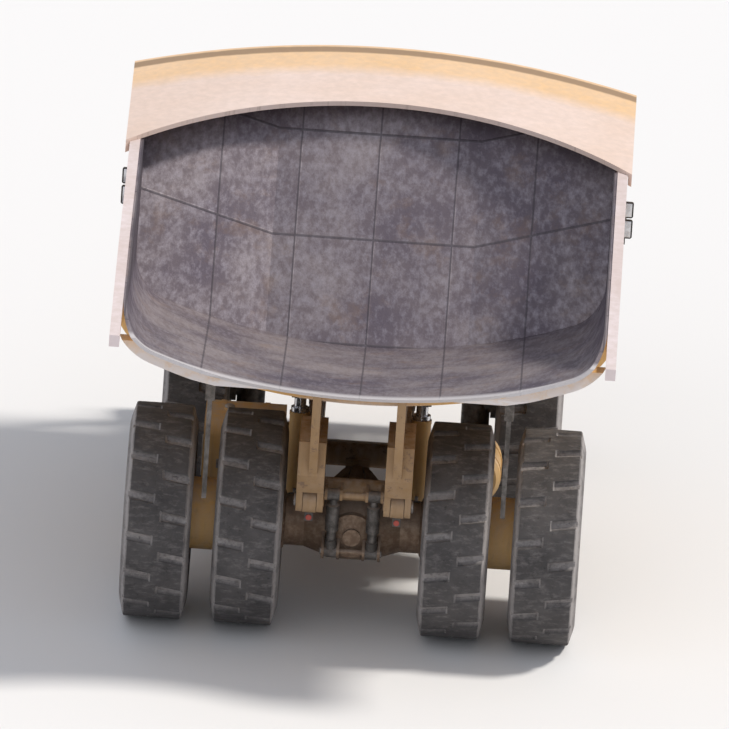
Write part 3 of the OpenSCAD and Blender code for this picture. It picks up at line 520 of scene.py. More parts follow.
def addNut(bm, place, along, size):
    # washer, hexagon and the stud's end
    place, along = Vector(place), Vector(along).normalized()
    shape = {name: share * size for name, share in nutShape.items()}
    addRod(bm, place - along * nutShape["letIn"], place + along * shape["washer"], shape["washerR"], 12)
    addRod(bm, place + along * shape["seat"], place + along * shape["height"], size, 6, shape["topR"])
    addRod(bm, place + along * shape["studFoot"], place + along * shape["studEnd"], shape["studR"], 8)


def addNutRing(bm, centre, along, radius, count, size, first=0.0):
    # nuts on a circle about an axis
    turn = Vector(along).to_track_quat("Z", "Y").to_matrix()
    for index in range(count):
        angle = math.radians(first + index * 360 / count)
        out = turn @ Vector((math.cos(angle), math.sin(angle), 0))
        addNut(bm, Vector(centre) + out * radius, along, size)


def addTurned(bm, profile, centre, along, steps=48):
    # radius and distance along the axis, closed by the axis itself or by ending where it starts
    place = facingTo(centre, along)
    verts = [bm.verts.new(place @ Vector((radius, 0, reach))) for radius, reach in profile]
    edges = [bm.edges.new(pair) for pair in zip(verts, verts[1:])]
    bmesh.ops.spin(bm, geom=verts + edges, cent=place.translation, axis=Vector(along), angle=math.tau,
                   steps=steps, use_merge=True)


def addRows(bm, base, hand, blocks=(), rods=(), nuts=(), rings=(), turned=(), balls=()):
    # every row starts with its places, from the base and towards the side that hand gives; then come
    # block: edge; rod: radius, sides and end's radius; nut: way and size; ball: radius;
    # ring: way, radius, count, size and first angle; turned: way, profile and steps
    def at(place):
        return Vector(base) + Vector((hand * place[0], *place[1:]))

    def way(along):
        return (hand * along[0], *along[1:])

    for corner, opposite, *edge in blocks:
        addBlock(bm, at(corner), at(opposite), *edge)
    for start, end, *shape in rods:
        addRod(bm, at(start), at(end), *shape)
    for place, along, size in nuts:
        addNut(bm, at(place), way(along), size)
    for centre, along, *ring in rings:
        addNutRing(bm, at(centre), way(along), *ring)
    for place, along, profile, *steps in turned:
        addTurned(bm, profile, at(place), way(along), *steps)
    for centre, radius in balls:
        bmesh.ops.create_uvsphere(bm, u_segments=16, v_segments=8, radius=radius,
                                  matrix=Matrix.Translation(at(centre)))


def fitted(name, finish, base, body="chassis", hands=(-1, 1), once=None, **rows):
    # a piece from rows on each side that hands gives, and from others that come only once
    bm = bmesh.new()
    for hand in hands:
        addRows(bm, base, hand, **rows)
    addRows(bm, base, 1, **(once or {}))
    return finished(name, bm, finish, body)


def pipes(name, routes, radius, finish, body="chassis", smooth=True):
    # rigid pipes and clamped hoses, each along its own points
    data = bpy.data.curves.new(name, "CURVE")
    data.dimensions = "3D"
    data.bevel_depth = radius
    data.bevel_resolution = 3
    data.resolution_u = 6
    data.use_fill_caps = True
    for route in routes:
        spline = data.splines.new("NURBS" if smooth else "POLY")
        spline.points.add(len(route) - 1)
        for point, place in zip(spline.points, route):
            point.co = (*place, 1.0)
        if smooth:
            spline.order_u = 3
            spline.use_endpoint_u = True
    return riding(name, data, finish, body)


def bothSides(points):
    # a route on the left and the same one on the right
    return [[rearPlace(hand * x, y, z) for x, y, z in points] for hand in (-1, 1)]


# Tyres

tread = {
    "lugs": 16, "columnsPerLug": 16, "depth": 0.095, "lean": 9.0, "shift": 5, "grooveColumns": 1,
    "grooveStart": 0.06, "worn": 0.006, "roughness": 0.005, "roughScale": 3, "roughDown": 0.2, "crease": 32,
}
# half of the section, radius and place across, from the bead to the crown
tyreSection = [
    (0.742, 0.0), (0.742, 0.30), (0.742, 0.498), (0.80, 0.505), (0.865, 0.508), (0.90, 0.520),
    (0.96, 0.536), (0.97, 0.542), (1.00, 0.543), (1.01, 0.539), (1.10, 0.550), (1.20, 0.558),
    (1.21, 0.563), (1.245, 0.564), (1.255, 0.560), (1.36, 0.563), (1.45, 0.5635), (1.53, 0.549),
    (1.60, 0.529), (1.66, 0.512), (1.70, 0.501), (1.745, 0.488), (1.775, 0.478), (1.791, 0.463),
    (1.7945, 0.440), (1.7945, 0.36), (1.7945, 0.28), (1.7945, 0.20), (1.7945, 0.13), (1.7945, 0.075),
    (1.7945, 0.045), (1.7945, 0.0),
]
# at each end: body, node and places of the tyres, and the place of the nuts
axles = {
    "front": ("front_wheel_", "front_tyre_", ("frontX",), "frontX"),
    "rear": ("rear_wheels_", "rear_tyres_", ("outerX", "innerX"), "outerX"),
}


def tyreShape():
    bm = bmesh.new()
    section = tyreSection + [(r, -x) for r, x in reversed(tyreSection[1:-1])]
    verts = [bm.verts.new((x, 0, r)) for r, x in section]
    edges = [bm.edges.new((verts[i], verts[(i + 1) % len(verts)])) for i in range(len(verts))]
    pitch = tread["columnsPerLug"]
    columns = tread["lugs"] * pitch
    bmesh.ops.spin(bm, geom=verts + edges, cent=(0, 0, 0), axis=(1, 0, 0), angle=math.tau, steps=columns,
                   use_merge=True)
    floorR, rough = site["tyreR"] - tread["depth"], tread["roughness"]
    for vert in bm.verts:
        x, y, z = vert.co
        radius, angle = math.hypot(y, z), math.atan2(-y, z)
        hand = 1 if x > 0 else -1
        column = round(angle / math.tau * columns)
        fromGroove = (column - hand * tread["shift"]) % pitch - pitch / 2
        if radius > floorR - tread["roughDown"]:
            radius += noise.noise(vert.co * tread["roughScale"]) * rough - rough
        if abs(x) >= tread["grooveStart"] and radius > floorR:
            if abs(fromGroove) <= tread["grooveColumns"]:
                radius = floorR
            elif abs(fromGroove) <= tread["grooveColumns"] + 1:
                radius -= tread["worn"]
        angle -= x * math.tan(math.radians(tread["lean"])) / site["tyreR"]
        vert.co = (x, -math.sin(angle) * radius, math.cos(angle) * radius)
    return bm


def tyrePiece(name, places, hand, body, node):
    bm = tyreShape()
    source = bpy.data.meshes.new("tyreSource")
    bm.to_mesh(source)
    bm.clear()
    for place in places:
        placed = source.copy()
        placed.transform(Matrix.Translation(place) @ Matrix.Diagonal((hand, 1, 1, 1)))
        bm.from_mesh(placed)
    piece = finished(name, bm, tyreFinish, body, tread["crease"])
    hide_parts(node)


for side, hand in sides:
    for end, (body, node, reaches, _) in axles.items():
        places = [(hand * site[x], site[end + "Y"], site["axleZ"]) for x in reaches]
        tyrePiece(end + "Tread" + side.title(), places, hand, body + side, node + side)
print("tyres")


# Wheel nuts, hub bolts and valves, measured from the tyre's middle

# rings of nuts as distance out, radius, count and size; the valve stands on the first ring's face
hub = {
    "front": ((0.152, 0.585, 24, 0.026), (0.248, 0.295, 12, 0.018)),
    "rear": ((0.092, 0.655, 36, 0.026), (0.243, 0.515, 24, 0.018), (0.373, 0.33, 16, 0.016)),
    "valve": (0.012, 10), "valveUp": (0.63, 0.66), "valveReach": 0.10,
    "clip": ((0.10, -0.02, 0.64), (0.16, 0.02, 0.665), 0.004),
}


def wheelFittings(name, rings, centre, body, hand):
    face = rings[0][0]
    foot, top = hub["valveUp"]
    nuts = [((out, 0, 0), (1, 0, 0), radius, count, size, 180 / count) for out, radius, count, size in rings]
    valve = ((face, 0, foot), (face + hub["valveReach"], 0, top), *hub["valve"])
    fitted(name, boltSteel, centre, body, (hand,), rings=nuts, rods=[valve], blocks=[hub["clip"]])


for side, hand in sides:
    for end, (body, _, _, x) in axles.items():
        wheelFittings(end + "Nuts" + side.title(), hub[end], (hand * site[x], site[end + "Y"], site["axleZ"]),
                      body + side, hand)
print("wheel fittings")


# Dump body: weld seams, and gussets below the top rails

bodyTrim = {
    "weld": 0.014, "weldOut": 0.004, "ribs": (0.12, 1.40, 2.68, 3.96, 5.24, 6.25), "ribWidth": 0.20,
    "upWall": 0.25, "belowRail": 0.21, "offCut": 0.01, "cornerSteps": 8, "floorSteps": 12,
}
gusset = {"up": 0.9, "top": 0.22, "bottom": 0.10, "out": 0.13, "thick": 0.012}


def acrossBody(along, out):
    # runs of points round the outside of the cross-section, from wall to wall, at a distance up the floor
    floorR, cornerR, half = bed["floorR"], bed["cornerR"], bed["half"]
    cornerX = half - cornerR
    cornerZ = floorR - math.sqrt((floorR - cornerR) ** 2 - cornerX ** 2)
    split = math.asin(cornerX / (floorR - cornerR))
    corner, floor = bodyTrim["cornerSteps"], bodyTrim["floorSteps"]
    points = [(half + out, cornerZ + bodyTrim["upWall"])]
    points += [(cornerX + (cornerR + out) * math.cos(a), cornerZ - (cornerR + out) * math.sin(a))
               for a in [i / corner * (math.pi / 2 - split) for i in range(corner + 1)]]
    points += [((floorR + out) * math.sin(a), floorR - (floorR + out) * math.cos(a))
               for a in [split * (1 - i / floor) for i in range(1, floor + 1)]]
    points += [(-x, z) for x, z in reversed(points[:-1])]
    slope, cut = bed["slope"], bed["boardAngle"]
    runs = [[]]
    for x, z in points:
        y = bed["tail"][0] + along * math.cos(slope) + z * math.sin(slope)
        up = bed["tail"][1] - along * math.sin(slope) + z * math.cos(slope)
        wallTop = bed["wallTop"] + min(y, 0.0) * bed["wallFall"]
        ahead = (y - bed["toe"][0]) * math.cos(cut) + (up - bed["toe"][1]) * math.sin(cut) + bed["cutReach"]
        if up < wallTop - bodyTrim["belowRail"] and ahead > bodyTrim["offCut"]:
            runs[-1].append(rearPlace(x, y, up))
        elif runs[-1]:
            runs.append([])
    return [run for run in runs if len(run) > 1]


def bodyWelds():
    out = bodyTrim["weldOut"]
    routes = []
    for rib in bodyTrim["ribs"][:-1]:
        for along in (rib - out, rib + bodyTrim["ribWidth"] + out):
            routes += acrossBody(along, bed["wall"] + out)
    pipes("bodyWelds", routes, bodyTrim["weld"], yellowPaint, "dump_body", smooth=False)


def ribGussets():
    # three-cornered plates on both faces of each rib
    bm = bmesh.new()
    reach, slope = bed["half"] + bed["wall"], bed["slope"]
    for rib in bodyTrim["ribs"][1:-1]:
        for hand in (-1, 1):
            for step in (-gusset["thick"], bodyTrim["ribWidth"]):
                y = bed["tail"][0] + (rib + step) * math.cos(slope) + gusset["up"] * math.sin(slope)
                z = bed["tail"][1] - (rib + step) * math.sin(slope) + gusset["up"]
                top, bottom = z + gusset["top"], z - gusset["bottom"]
                corners = ((reach, top), (reach, bottom), (reach + gusset["out"], top))
                face = bm.faces.new([bm.verts.new(rearPlace(hand * x, y, up)) for x, up in corners])
                grown = bmesh.ops.extrude_face_region(bm, geom=[face])
                moved = [g for g in grown["geom"] if isinstance(g, bmesh.types.BMVert)]
                bmesh.ops.translate(bm, verts=moved, vec=(0, gusset["thick"], 0))
    finished("ribGussets", bm, yellowPaint, "dump_body")


bodyWelds()
ribGussets()
print("dump body")


# Cab: window and door seals, wipers, roof lights, door handle and grab bar

# low and high ends across, along and up, and of the leaning windscreen
cab = {
    "x": (-2.9, -1.15), "y": (6.48, 8.15), "top": 1.8, "lean": 0.16, "leanUp": (0.7, 1.71), "seal": 0.016,
    "proud": 0.004,
}
# in from each end, up from the deck, down from the roof, and the corners' radius; the door's is along
cabWindows = {
    "screen": (0.13, 0.77, 0.18, 0.06), "back": (0.25, 0.9, 0.33, 0.05),
    "door": ((0.356, 1.044), 0.8, 0.26, 0.05),
}
sideWindow = {"up": (0.85, 1.54), "front": (0.15, 0.27), "right": 0.2, "left": 1.235}
# from the cab's rear left corner on the deck
handle = {
    "blocks": (((-0.035, 0.31, 0.62), (0.002, 0.335, 0.65), 0.004),
               ((-0.035, 0.43, 0.62), (0.002, 0.455, 0.65), 0.004),
               ((-0.045, 0.30, 0.622), (-0.025, 0.465, 0.648), 0.006)),
    "rods": (((-0.008, 0.33, 0.52), (0.002, 0.33, 0.52), 0.018, 16),),
}
grab = {
    "radius": 0.016, "route": ((-0.003, 0.15, 0.35), (-0.07, 0.15, 0.35), (-0.07, 0.15, 1.25),
                               (-0.003, 0.15, 1.25)),
}
# wipers from where they turn, ahead of the screen and above the deck; lights from the roof's front edge
wiper = {
    "x": (-2.55, -1.85), "foot": (0.012, 0.74),
    "rods": (((0, -0.02, 0), (0, 0.03, 0), 0.024, 16), ((0, 0.02, 0), (0.34, -0.045, 0.56), 0.008, 10, 0.005),
             ((0.36, -0.053, 0.30), (0.32, -0.105, 0.80), 0.009, 8)),
}
roofLight = {
    "x": (-2.65, -1.4), "housing": ((-0.09, -0.20, 0.002), (0.09, -0.10, 0.10), 0.012),
    "lens": ((-0.075, -0.102, 0.015), (0.075, -0.092, 0.088), 0.004),
}


def roundedOutline(low, high, radius, steps=5):
    # corners of a rounded window in its own plane, as a closed list
    corners = [(high[0] - radius, high[1] - radius, 0), (low[0] + radius, high[1] - radius, 90),
               (low[0] + radius, low[1] + radius, 180), (high[0] - radius, low[1] + radius, 270)]
    points = []
    for x, y, start in corners:
        for step in range(steps + 1):
            angle = math.radians(start + step * 90 / steps)
            points.append((x + radius * math.cos(angle), y + radius * math.sin(angle)))
    return points + points[:1]


def cabSeals():
    deck, proud = site["deckTop"], cab["proud"]
    (x0, x1), (y0, y1) = cab["x"], cab["y"]
    top = deck + cab["top"]

    def endWindow(name):
        margin, low, high, corner = cabWindows[name]
        return roundedOutline((x0 + margin, deck + low), (x1 - margin, top - high), corner)

    def onScreen(x, z):
        foot, head = (deck + up for up in cab["leanUp"])
        return rearPlace(x, y1 - cab["lean"] * (z - foot) / (head - foot) + proud, z)

    def onSide(x, back):
        (sill, head), (footIn, headIn) = ((deck + up for up in sideWindow["up"]), sideWindow["front"])
        corners = ((back, sill), (y1 - footIn, sill), (y1 - headIn, head), (back, head), (back, sill))
        return [rearPlace(x, y, z) for y, z in corners]

    seals = [[onScreen(x, z) for x, z in endWindow("screen")],
             [rearPlace(x, y0 - proud, z) for x, z in endWindow("back")],
             onSide(x1 + proud, y0 + sideWindow["right"]), onSide(x0 - proud, y0 + sideWindow["left"])]
    pipes("cabSeals", seals, cab["seal"], blackTrim, smooth=False)
    (back, front), low, high, corner = cabWindows["door"]
    outline = roundedOutline((y0 + back, deck + low), (y0 + front, top - high), corner)
    pipes("doorSeal", [[rearPlace(x0 - proud, y, z) for y, z in outline]], cab["seal"], blackTrim, "cab_door",
          smooth=False)


def cabFittings():
    left, (back, front), roof = cab["x"][0], cab["y"], site["deckTop"] + cab["top"]
    forward, up = wiper["foot"]
    bm = bmesh.new()
    for x in wiper["x"]:
        addRows(bm, rearPlace(x, front + forward, site["deckTop"] + up), 1, rods=wiper["rods"])
    lenses = bmesh.new()
    for x in roofLight["x"]:
        addRows(bm, rearPlace(x, front, roof), 1, blocks=[roofLight["housing"]])
        addRows(lenses, rearPlace(x, front, roof), 1, blocks=[roofLight["lens"]])
    finished("cabWipers", bm, blackTrim, "chassis")
    finished("cabLights", lenses, lampLens, "chassis")
    corner = Vector(rearPlace(left, back, site["deckTop"]))
    fitted("doorHandle", blackTrim, corner, "cab_door", (1,), **handle)
    pipes("cabGrabBar", [[corner + Vector(place) for place in grab["route"]]], grab["radius"], yellowPaint,
          smooth=False)


cabSeals()
cabFittings()
print("cab")


# Deck: mirror faces, toe boards, hatches, and the feet and joints of the railings

mirror = (
    ((4.095, 7.864, 0.085), (4.305, 7.8715, 0.375), 0.002),
    ((4.095, 7.864, 0.455), (4.305, 7.8715, 0.695), 0.002),
)
toeBoard = {
    "sides": (((3.884, 5.9, 0.0005), (3.894, 8.63, 0.1205), 0.002),
              ((1.5, 8.634, 0.0005), (3.88, 8.644, 0.1205), 0.002)),
    "nose": ((-1.3, 9.288, 0.0005), (1.3, 9.298, 0.1205), 0.002),
}
# lids as low and high ends across and along
hatch = {
    "lids": ((-0.95, 0.95, 6.75, 8.25), (-0.55, 0.55, 8.45, 9.05), (-3.75, -3.05, 5.4, 6.3),
             (1.6, 2.6, 8.2, 8.55), (2.75, 3.6, 5.2, 6.2)),
    "up": (0.0004, 0.0164), "edge": 0.006, "screwIn": 0.06, "screwUp": (0.0144, 0.0244), "screw": (0.016, 10),
}
railing = {
    "posts": ((3.86, 5.9), (3.86, 6.8), (3.86, 7.7), (3.86, 8.6), (3.18, 8.6), (2.33, 8.6), (1.48, 8.6),
              (1.34, 9.26), (0.45, 9.26)),
    "foot": (0.0004, 0.0124), "footShape": (0.036, 16), "joints": (1.0504, 0.5504), "jointR": 0.034,
}


def deckHatches():
    low, high = hatch["up"]
    lids = [((x0, y0, low), (x1, y1, high), hatch["edge"]) for x0, x1, y0, y1 in hatch["lids"]]
    margin = hatch["screwIn"]
    foot, head = hatch["screwUp"]
    screws = [((x, y, foot), (x, y, head), *hatch["screw"]) for x0, x1, y0, y1 in hatch["lids"]
              for x in (x0 + margin, x1 - margin) for y in (y0 + margin, y1 - margin)]
    fitted("deckHatches", deckFinish, onDeck, hands=(1,), blocks=lids, rods=screws)


def railFeet():
    low, high = railing["foot"]
    fitted("railFeet", yellowPaint, onDeck,
           rods=[((x, y, low), (x, y, high), *railing["footShape"]) for x, y in railing["posts"]],
           balls=[((x, y, z), railing["jointR"]) for x, y in railing["posts"] for z in railing["joints"]])


fitted("mirrorFaces", rodChrome, onDeck, blocks=mirror)
fitted("toeBoards", yellowPaint, onDeck, blocks=toeBoard["sides"], once={"blocks": [toeBoard["nose"]]})
deckHatches()
railFeet()
print("deck")


# Stairs: bars on the treads, and hand rails

# foot and head across, the foot's height, and the ends along; a bar's width, bottom and top on its step;
# a rail's ends: across, up, and the height of its post
stair = {
    "count": 9, "x": (2.9, 1.3803), "low": 1.59, "along": (8.662, 9.33), "bars": 5, "barBack": 0.18,
    "barStep": 0.045, "bar": (0.008, 0.028, 0.042), "barIn": 0.03, "railR": 0.018, "railIn": 0.012,
    "rail": ((2.84, 1.69, 0.95), (1.4103, 4.03, 1.0)),
}


def stairs():
    (foot, head), (back, ahead) = stair["x"], stair["along"]
    start, end = back + stair["barIn"], ahead - stair["barIn"]
    width, low, high = stair["bar"]
    steps = stair["count"] + 1
    bars = []
    for index in range(1, steps):
        x = foot - index * (foot - head) / steps - stair["barBack"]
        z = stair["low"] + index * (site["deckTop"] - stair["low"]) / steps
        for edge in [x + bar * stair["barStep"] for bar in range(stair["bars"])]:
            bars.append(((edge, start, z + low), (edge + width, end, z + high)))
    fitted("stairTreads", deckFinish, onGround, blocks=bars)
    (x0, z0, post0), (x1, z1, post1) = stair["rail"]
    rails = []
    for y in (back + stair["railIn"], ahead - stair["railIn"]):
        rails += bothSides([(x0, y, z0), (x0, y, z0 + post0), (x1, y, z1 + post1), (x1, y, z1)])
    pipes("stairRails", rails, stair["railR"], yellowPaint, smooth=False)


stairs()
print("stairs")


# Radiator guard, lamps and bumper bolts

# from the guard's face; a hinge is half its height, radius and sides, and a bar its width, back, front and edge
guard = {
    "face": 0.29, "up": (1.59, site["deckTop"] - 0.0703), "nut": 0.016, "smallNut": 0.0128, "rows": 8,
    "rowIn": 0.15, "edgeX": 1.195, "columns": [-1.05 + column * 0.3 for column in range(8)],
    "columnIn": (0.07, 0.05), "hingeX": 1.262, "hingeY": -0.03, "hingeIn": 0.45, "hinge": (0.09, 0.018, 16),
    "leaf": ((1.20, -0.002, -0.07), (1.262, 0.007, 0.07), 0.003), "backIn": (0.21, 0.13),
    "panel": ((0.04, -0.104), (1.13, -0.098)), "bars": (0.31, 0.59, 0.87),
    "bar": (0.02, -0.075, -0.03, 0.004),
}
lamp = {
    "across": (2.15, 2.40, 2.65), "up": 1.35, "bolts": (0.128, 4, 0.006, 45), "boltY": -0.004,
    "rim": [(0.100, -0.012), (0.118, -0.012), (0.118, -0.001), (0.112, -0.0002), (0.104, -0.0004),
            (0.0985, -0.006), (0.0985, -0.012), (0.100, -0.012)],
    "rear": ((0.73, -1.118, 2.287), (0.73, -1.136, 2.287), 0.048, 32),
}
bumperNuts = [((x, -0.008, z), forwards, 0.012) for x in (2.95, 3.12) for z in (1.2, 1.5)]


def radiatorFittings():
    face = (0, site["noseY"] + guard["face"], 0)
    low, high = guard["up"]
    rowStep = (high - low - 2 * guard["rowIn"]) / (guard["rows"] - 1)
    rows = [low + guard["rowIn"] + row * rowStep for row in range(guard["rows"])]
    half, *hinge = guard["hinge"]
    x, y = guard["hingeX"], guard["hingeY"]
    hinges = (low + guard["hingeIn"], high - guard["hingeIn"])
    (x0, y0, z0), (x1, y1, z1), edge = guard["leaf"]
    fitted("radiatorFittings", boltSteel, face,
           nuts=[((guard["edgeX"], 0, z), forwards, guard["nut"]) for z in rows]
           + [((0, 0, z), forwards, guard["smallNut"]) for z in rows],
           rods=[((x, y, z - half), (x, y, z + half), *hinge) for z in hinges],
           blocks=[((x0, y0, z + z0), (x1, y1, z + z1), edge) for z in hinges],
           once={"nuts": [((x, 0, z), forwards, guard["smallNut"]) for x in guard["columns"]
                          for z in (low + guard["columnIn"][0], high - guard["columnIn"][1])]})
    foot, top = low + guard["backIn"][0], high - guard["backIn"][1]
    inner, outer = guard["panel"]
    width, back, front, edge = guard["bar"]
    bars = [((x, back, foot), (x + width, front, top), edge) for x in guard["bars"]]
    fitted("radiatorBars", blackTrim, face, blocks=[((*inner, foot), (*outer, top)), *bars])


def lampFittings():
    bumper = (0, site["bumperY"], 0)
    y, z = lamp["boltY"], lamp["up"]
    fitted("lampRims", blackTrim, bumper,
           turned=[((x, 0, z), forwards, lamp["rim"], 32) for x in lamp["across"]],
           rings=[((x, y, z), forwards, *lamp["bolts"]) for x in lamp["across"]])
    fitted("rearLenses", redLens, onGround, rods=[lamp["rear"]])
    fitted("bumperBolts", boltSteel, bumper, nuts=bumperNuts)


radiatorFittings()
lampFittings()
print("radiator and lamps")


# Hoist cylinders: gland bolts, pin caps and hose ends

# nut rings: distance up the hoist, radius, count and size; rods from the foot's or the head's pin
hoistTrim = {
    "gland": (1.70, 0.1535, 12, 0.009), "stage": (1.78, 0.125, 10, 0.008),
    "footRods": (((0.14, 0, 0), (0.158, 0, 0), 0.07), ((0, -0.16, 0.30), (0, -0.22, 0.33), 0.035, 16),
                 ((0, -0.20, 0.30), (0, -0.20, 0.44), 0.028, 16)),
    "headRods": (((0.148, 0, 0), (0.160, 0, 0), 0.062),),
    "headNuts": (((0.158, 0, 0), (1, 0, 0), 0.045, 4, 0.007),),
}


def hoistFittings():
    low, up = Vector(rearPlace(0, *hoist["low"])), Vector(rearPlace(0, *hoist["up"]))
    along = (up - low).normalized()
    rings = {name: [(along * hoistTrim[name][0], along, *hoistTrim[name][1:])] for name in ("gland", "stage")}
    for side, hand in sides:
        foot, head = (end + Vector((hand * hoist["x"], 0, 0)) for end in (low, up))
        fitted("hoistGland" + side.title(), boltSteel, foot, "hoist_barrel_" + side, (hand,),
               rings=rings["gland"], rods=hoistTrim["footRods"])
        fitted("hoistStageNuts" + side.title(), boltSteel, foot, "hoist_stage_" + side, (hand,),
               rings=rings["stage"])
        fitted("hoistPinCap" + side.title(), boltSteel, head, "hoist_rod_" + side, (hand,),
               rods=hoistTrim["headRods"], rings=hoistTrim["headNuts"])


hoistFittings()
print("hoists")


# Rear axle, suspension, and pipes on the frame

# from the rear axle's middle
axle = {
    "rings": (((1.149, 0, 0), (-1, 0, 0), 0.465, 28, 0.016),),
    "once": {"turned": (((0, -0.598, 0), backwards, [(0.0, 0.05), (0.24, 0.035), (0.30, 0.012), (0.38, 0.008),
                                                (0.385, -0.12), (0.0, -0.12)], 40),),
             "rings": (((0, -0.606, 0), backwards, 0.345, 20, 0.012),),
             "rods": (((0.25, -0.1, 0.58), (0.25, -0.1, 0.70), 0.03, 16),)},
}
# from the front axle's middle
strut = {
    "rings": (((site["kingX"], 0, 1.76), (0, 0, 1), 0.165, 10, 0.014),
              ((site["kingX"], 0, 1.68), (0, 0, 1), 0.232, 16, 0.012)),
    "rods": (((site["kingX"], 0, 1.785), (site["kingX"], 0, 1.855), 0.03, 16),),
}
# pin ends of the rear suspension and of the body's hinge: across, along, up and radius
pinEnds = {
    "places": ((0.492, -0.74, 1.56, 0.060), (0.492, -0.90, 2.64, 0.065), (0.972, -1.15, 2.60, 0.105)),
    "out": (-0.01, 0.018), "nutOut": 0.017, "nuts": (0.62, 4, 0.009),
}
framePipe = {
    "up": (2.44, 2.50, 2.56), "along": (-0.35, 0.4, 1.2, 2.2, 3.6, 5.2), "off": 0.025, "radius": 0.018,
    "clamps": (-0.2, 0.55, 1.3, 2.15, 2.95, 3.8, 4.6), "clamp": ((0.8395, 0, 2.40), (0.895, 0.05, 2.60)),
    "clampNuts": ((0.893, 0.025, 2.47), (0.893, 0.025, 2.53)), "nut": 0.008, "edge": 0.006,
}
footHose = {
    "radius": 0.026, "route": ((0.86, 2.35, 2.44), (0.98, 2.45, 2.42), (1.06, 2.40, 2.15),
                               (1.02, 2.22, 1.85), (0.90, 2.28, 1.62), (0.86, 2.2, 1.55)),
}
brakeLine = {
    "radius": 0.014, "route": ((0.10, 2.0, 2.02), (0.14, 1.4, 2.03), (0.22, 0.9, 2.04), (0.32, 0.62, 2.12),
                               (0.42, 0.40, 2.28), (0.60, 0.2, 2.29), (0.80, 0.10, 2.235),
                               (1.10, 0.05, 2.235)),
}


def suspensionBolts():
    bm = bmesh.new()
    inner, outer = pinEnds["out"]
    share, *nuts = pinEnds["nuts"]
    pins = [((x + inner, y, z), (x + outer, y, z), radius) for x, y, z, radius in pinEnds["places"]]
    rings = [((x + pinEnds["nutOut"], y, z), (1, 0, 0), radius * share, *nuts)
             for x, y, z, radius in pinEnds["places"]]
    for hand in (-1, 1):
        addRows(bm, (0, site["frontY"], site["axleZ"]), hand, **strut)
        addRows(bm, onGround, hand, rods=pins, rings=rings)
    finished("suspensionBolts", bm, boltSteel, "chassis")


def framePipes():
    # hoist and brake pipes clamped along the outside of the rails
    x = site["railOut"] + framePipe["off"]
    routes = [[rearPlace(hand * x, y, z) for y in framePipe["along"]]
              for hand in (-1, 1) for z in framePipe["up"]]
    pipes("framePipes", routes, framePipe["radius"], darkSteel)
    bm = bmesh.new()
    for hand in (-1, 1):
        for y in framePipe["clamps"]:
            addRows(bm, rearPlace(0, y, 0), hand, blocks=[(*framePipe["clamp"], framePipe["edge"])],
                    nuts=[(place, (1, 0, 0), framePipe["nut"]) for place in framePipe["clampNuts"]])
    finished("pipeClamps", bm, boltSteel, "chassis")
    pipes("footHoses", bothSides(footHose["route"]), footHose["radius"], hoseRubber)
    pipes("brakeLines", bothSides(brakeLine["route"]), brakeLine["radius"], hoseRubber)


fitted("axleFittings", axleSteel, (0, site["rearY"], site["axleZ"]), **axle)
suspensionBolts()
framePipes()
print("axle and frame")


# Tanks, air cleaners and control cabinet

cap = [(0, 0.045), (0.06, 0.04), (0.085, 0.02), (0.085, -0.02), (0, -0.02)]
smallCap = [(0, 0.04), (0.05, 0.035), (0.068, 0.015), (0.068, -0.02), (0, -0.02)]
# strap ends as place across, place along and which way they face
tank = {
    "straps": [(x, y, hand) for x in (-2.305, -1.575) for y, hand in ((2.318, -1), (3.662, 1))],
    "strap": ((-0.06, 0, 1.72), (0.06, 0.03, 1.88), 0.006), "strapNuts": ((0, 0.03, 1.76), (0, 0.03, 1.84)),
    "nut": 0.016, "pipeR": 0.035,
    "caps": (((-2.2, 3.0, 2.56), upwards, cap, 32), ((1.9, 2.6, 2.35), upwards, smallCap, 32)),
    "glasses": (((-2.62, 2.62, 1.45), (-2.598, 2.70, 2.15), 0.004),
                ((1.86, 3.50, 1.55), (1.94, 3.522, 2.05), 0.004)),
    "outlet": ((-1.92, 2.32, 1.45), (-1.92, 2.29, 1.45), 0.05, 20),
    "pipes": (((1.9, 2.33, 1.80), (1.9, 2.24, 1.80), (1.88, 2.20, 1.72), (1.6, 2.2, 1.66), (1.3, 2.24, 1.72),
               (1.05, 2.3, 1.9), (0.86, 2.3, 2.1)),
              ((-1.92, 2.30, 1.45), (-1.92, 2.22, 1.45), (-1.85, 2.18, 1.5), (-1.4, 2.2, 1.7),
               (-1.1, 2.3, 2.0), (-0.86, 2.4, 2.2))),
}
canister = {
    "places": ((1.6, 6.45), (2.35, 6.45)), "clips": (200, 250, 290, 340), "clipUp": 0.205, "clipR": 0.312,
    "clip": (0.018, 0.018, 0.05), "edge": 0.006, "bands": (0.40, 0.58, 0.76),
    "band": [(0.301, 0.0), (0.307, 0.004), (0.307, 0.016), (0.301, 0.02), (0.301, 0.0)], "intakeR": 0.09,
    "intake": ((1.45, 6.72, 0.42), (1.45, 6.84, 0.42), (1.45, 6.86, 0.40), (1.45, 6.86, 0.25),
               (1.45, 6.86, -0.02)),
}
# what each door carries, from its hinged side on the deck, and the lifting eyes
cabinet = {
    "face": 8.097, "doors": (1.572, 2.142, 2.712), "lock": ((0.44, -0.003, 0.66), (0.48, 0.012, 0.80), 0.004),
    "rods": (((0.008, 0, 0.28), (0.008, 0, 0.38), 0.012, 12), ((0.008, 0, 1.14), (0.008, 0, 1.24), 0.012, 12),
             ((0.46, 0, 0.70), (0.46, 0.03, 0.70), 0.012, 12)),
    "eyes": ((1.62, 7.0), (3.18, 7.0), (1.62, 7.95), (3.18, 7.95)), "top": 1.4496,
    "eye": [(0.012, 0.0), (0.03, 0.0), (0.03, 0.012), (0.02, 0.05), (0.05, 0.075), (0.05, 0.09),
            (0.012, 0.06), (0.012, 0.0)],
}


